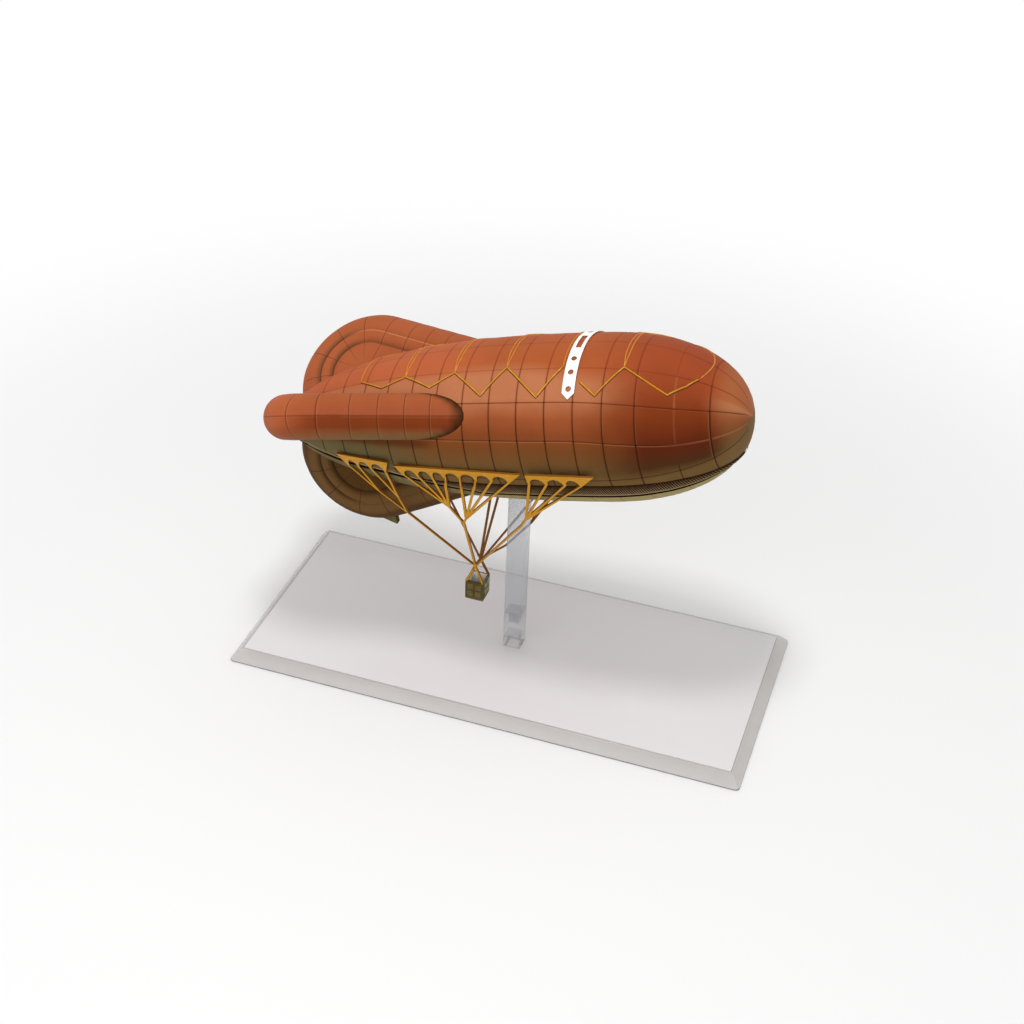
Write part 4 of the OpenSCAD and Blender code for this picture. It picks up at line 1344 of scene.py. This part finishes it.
class BALLOON_OT_rigging(bpy.types.Operator):
    """Make the rigging webs, knots and slings"""
    bl_idname = "balloon.rigging"
    bl_label = "Make Rigging"

    def execute(self, context):
        s = settings("rigging")
        for side, outward in (("right", -1), ("left", 1)):
            gold = web_finish(side + "_line_paint", outward)
            for part in ("aft_web", "mid_web", "fore_web"):
                paint = web_finish(f"{side}_{part}_paint", outward, broad_side(f"{side}_{part}"))
                dressed(f"{side}_{part}", paint, 0.12 * MM, "balloon", "gold_paint", 60)
            dressed(side + "_slings", gold, 0.0, "balloon", "gold_paint", 60)
            runs = side_routes(BAND_LEGS, side == "left")
            legs = laid_cord(side + "_band_legs", runs, 1.2 * s.line_width, gold, rise=0.45, proud=0.38 * MM)
            settle(legs, "balloon", "gold_paint")
            mesh = knot_mesh(side)
            mesh.materials.append(gold)
            obj = linked(side + "_knot_lines", mesh)
            melt = obj.modifiers.new("melt", "REMESH")
            melt.mode = "VOXEL"
            melt.voxel_size = 0.12 * MM
            melt.use_smooth_shade = True
            obj.modifiers.new("soften", "SMOOTH").iterations = 3
            settle(apply_modifiers(obj), "balloon", "gold_paint", side + "_knot")
        return {"FINISHED"}


class BALLOON_OT_basket(bpy.types.Operator):
    """Make the basket's floor and its four panelled walls"""
    bl_idname = "balloon.basket"
    bl_label = "Make Basket"

    def execute(self, context):
        s = settings("rigging")
        plain = basket_finish("basket_paint", s.basket, s.basket_worn, 0.1)
        worn = basket_finish("basket_worn_paint", s.basket, s.basket_worn, 0.85)
        # The aft and left walls and the floor have pale inner faces as a painted highlight; the other walls'
        # inner faces get painted shade
        aft = basket_finish("basket_highlit_inside_paint", s.basket, s.basket_worn, 0.1, tuple(s.basket_floor))
        floor = basket_finish("basket_floor_highlight_paint", s.basket, s.basket_worn, 0.1, tuple(s.basket_floor))
        walls = {"right": (plain, Vector((0, -1, 0))), "left": (aft, Vector((0, 1, 0))),
                 "fore": (worn, Vector((1, 0, 0))), "aft": (aft, Vector((-1, 0, 0)))}
        bottom = dressed("basket_floor", floor, 0.1 * MM, "balloon", "basket_paint").data
        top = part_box("basket_floor")[1].z
        store(bottom, "inside", [v.co.z > top - 0.02 * MM for v in bottom.vertices])
        for side, (paint, outward) in walls.items():
            wall = dressed(f"basket_{side}_wall", paint, 0.08 * MM, "balloon", "basket_paint").data
            depths = [v.co.dot(outward) for v in wall.vertices]
            face, back = max(depths), min(depths)
            store(wall, "wash", [smooth_step(face - depth, 0.08 * MM, 0.2 * MM) * 0.55 for depth in depths])
            store(wall, "inside", [depth < back + 0.05 * MM for depth in depths])
        return {"FINISHED"}


# How far the floor lies under the plate, and the point that the lamps face
FLOOR_GAP = 0.02 * MM
LAMP_TARGET = Vector((0, 0, 0.06))


class BALLOON_OT_stage(bpy.types.Operator):
    """Make the floor, the lamps, the world and the camera"""
    bl_idname = "balloon.stage"
    bl_label = "Make Stage"

    def execute(self, context):
        s = settings("stage")
        self.floor(s)
        self.lamp("key_lamp", s.key_place, s.key_size, s.key_level)
        self.lamp("fill_lamp", s.fill_place, s.fill_size, s.fill_level)
        world = bpy.data.worlds.new("studio")
        context.scene.world = world
        world.use_nodes = True
        sky = Nodes(world.node_tree)
        strength = sky.seen() * (1 - s.world_level) + s.world_level
        light = sky.node("ShaderNodeBackground", None, {"Color": (1, 1, 1), "Strength": strength})
        sky.add("ShaderNodeOutputWorld", None, {0: light})
        self.camera(context.scene, s)
        context.scene.view_settings.view_transform = "Standard"
        return {"FINISHED"}

    def floor(self, s):
        """A pale floor that keeps the shadow and fades to plain white further out."""
        mesh = bpy.data.meshes.new("floor")
        side = 4.0
        drop = -FLOOR_GAP
        mesh.from_pydata([(-side, -side, drop), (side, -side, drop), (side, side, drop), (-side, side, drop)],
                         [], [(0, 1, 2, 3)])
        finish = Finish("floor_paint", Roughness=0.9, Specular_IOR_Level=0.1)
        tone = finish.noise(3, 2)
        finish.set(Base_Color=finish.mix(tone * 0.3, s.floor, scaled(s.floor, 0.98)))
        x, y = finish.place()[:2]
        far = ((x * x + y * y) ** 0.5).rise(0.16, 0.42)
        glow = finish.node("ShaderNodeEmission", None, {"Color": (1, 1, 1), "Strength": 1.0})
        paint = Value(finish, finish.shader.outputs[0])
        both = finish.node("ShaderNodeMixShader", None, {0: finish.seen() * far, 1: paint, 2: glow})
        finish.put(finish.output.inputs[0], both)
        mesh.materials.append(finish.material)
        obj = linked("floor", mesh)

    def lamp(self, name, place, size, energy):
        """A square lamp that faces the balloon."""
        data = bpy.data.lights.new(name, "AREA")
        data.size = size
        data.energy = energy
        obj = linked(name, data)
        obj.location = place
        obj.rotation_euler = (LAMP_TARGET - obj.location).to_track_quat("-Z", "Y").to_euler()

    def camera(self, scene, s):
        """The camera at the photograph's viewing angle."""
        data = bpy.data.cameras.new("camera")
        data.sensor_width = 36
        data.lens = s.focal
        data.shift_x = s.shift_x
        data.shift_y = s.shift_y
        data.clip_start = 0.01
        turn, rise, roll = s.camera_turn, s.camera_rise, s.camera_roll
        right = Vector((math.cos(turn), math.sin(turn), 0))
        back = Vector((math.sin(turn) * math.cos(rise), -math.cos(turn) * math.cos(rise), math.sin(rise)))
        up = back.cross(right)
        turned = [right * math.cos(roll) + up * math.sin(roll),
                  up * math.cos(roll) - right * math.sin(roll), back]
        scene.camera = linked("camera", data)
        scene.camera.matrix_world = Matrix.Translation(s.camera_place) @ Matrix(turned).transposed().to_4x4()


PIECES = [BALLOON_OT_stand, BALLOON_OT_envelope, BALLOON_OT_lobes, BALLOON_OT_raised_work,
          BALLOON_OT_rigging, BALLOON_OT_basket, BALLOON_OT_stage]


class BALLOON_PT_panel(bpy.types.Panel):
    """Sizes, colours and buttons of the balloon"""
    bl_idname = "BALLOON_PT_panel"
    bl_label = "Observation Balloon"
    bl_space_type = "VIEW_3D"
    bl_region_type = "UI"
    bl_category = "Balloon"

    def draw(self, context):
        for operator in PIECES:
            self.layout.operator(operator.bl_idname)
        for name, group in SETTINGS.items():
            box = self.layout.box()
            box.label(text=group.__doc__)
            for key in group.__annotations__:
                box.prop(getattr(context.scene, name), key)


CLASSES = list(SETTINGS.values()) + PIECES + [BALLOON_PT_panel]


def register():
    for cls in CLASSES:
        bpy.utils.register_class(cls)
    for name, group in SETTINGS.items():
        setattr(bpy.types.Scene, name, bpy.props.PointerProperty(type=group))


def unregister():
    for name in SETTINGS:
        delattr(bpy.types.Scene, name)
    for cls in reversed(CLASSES):
        bpy.utils.unregister_class(cls)


def main():
    register()
    for operator in PIECES:
        group, name = operator.bl_idname.split(".")
        getattr(getattr(bpy.ops, group), name)()


if __name__ == "__main__":
    main()
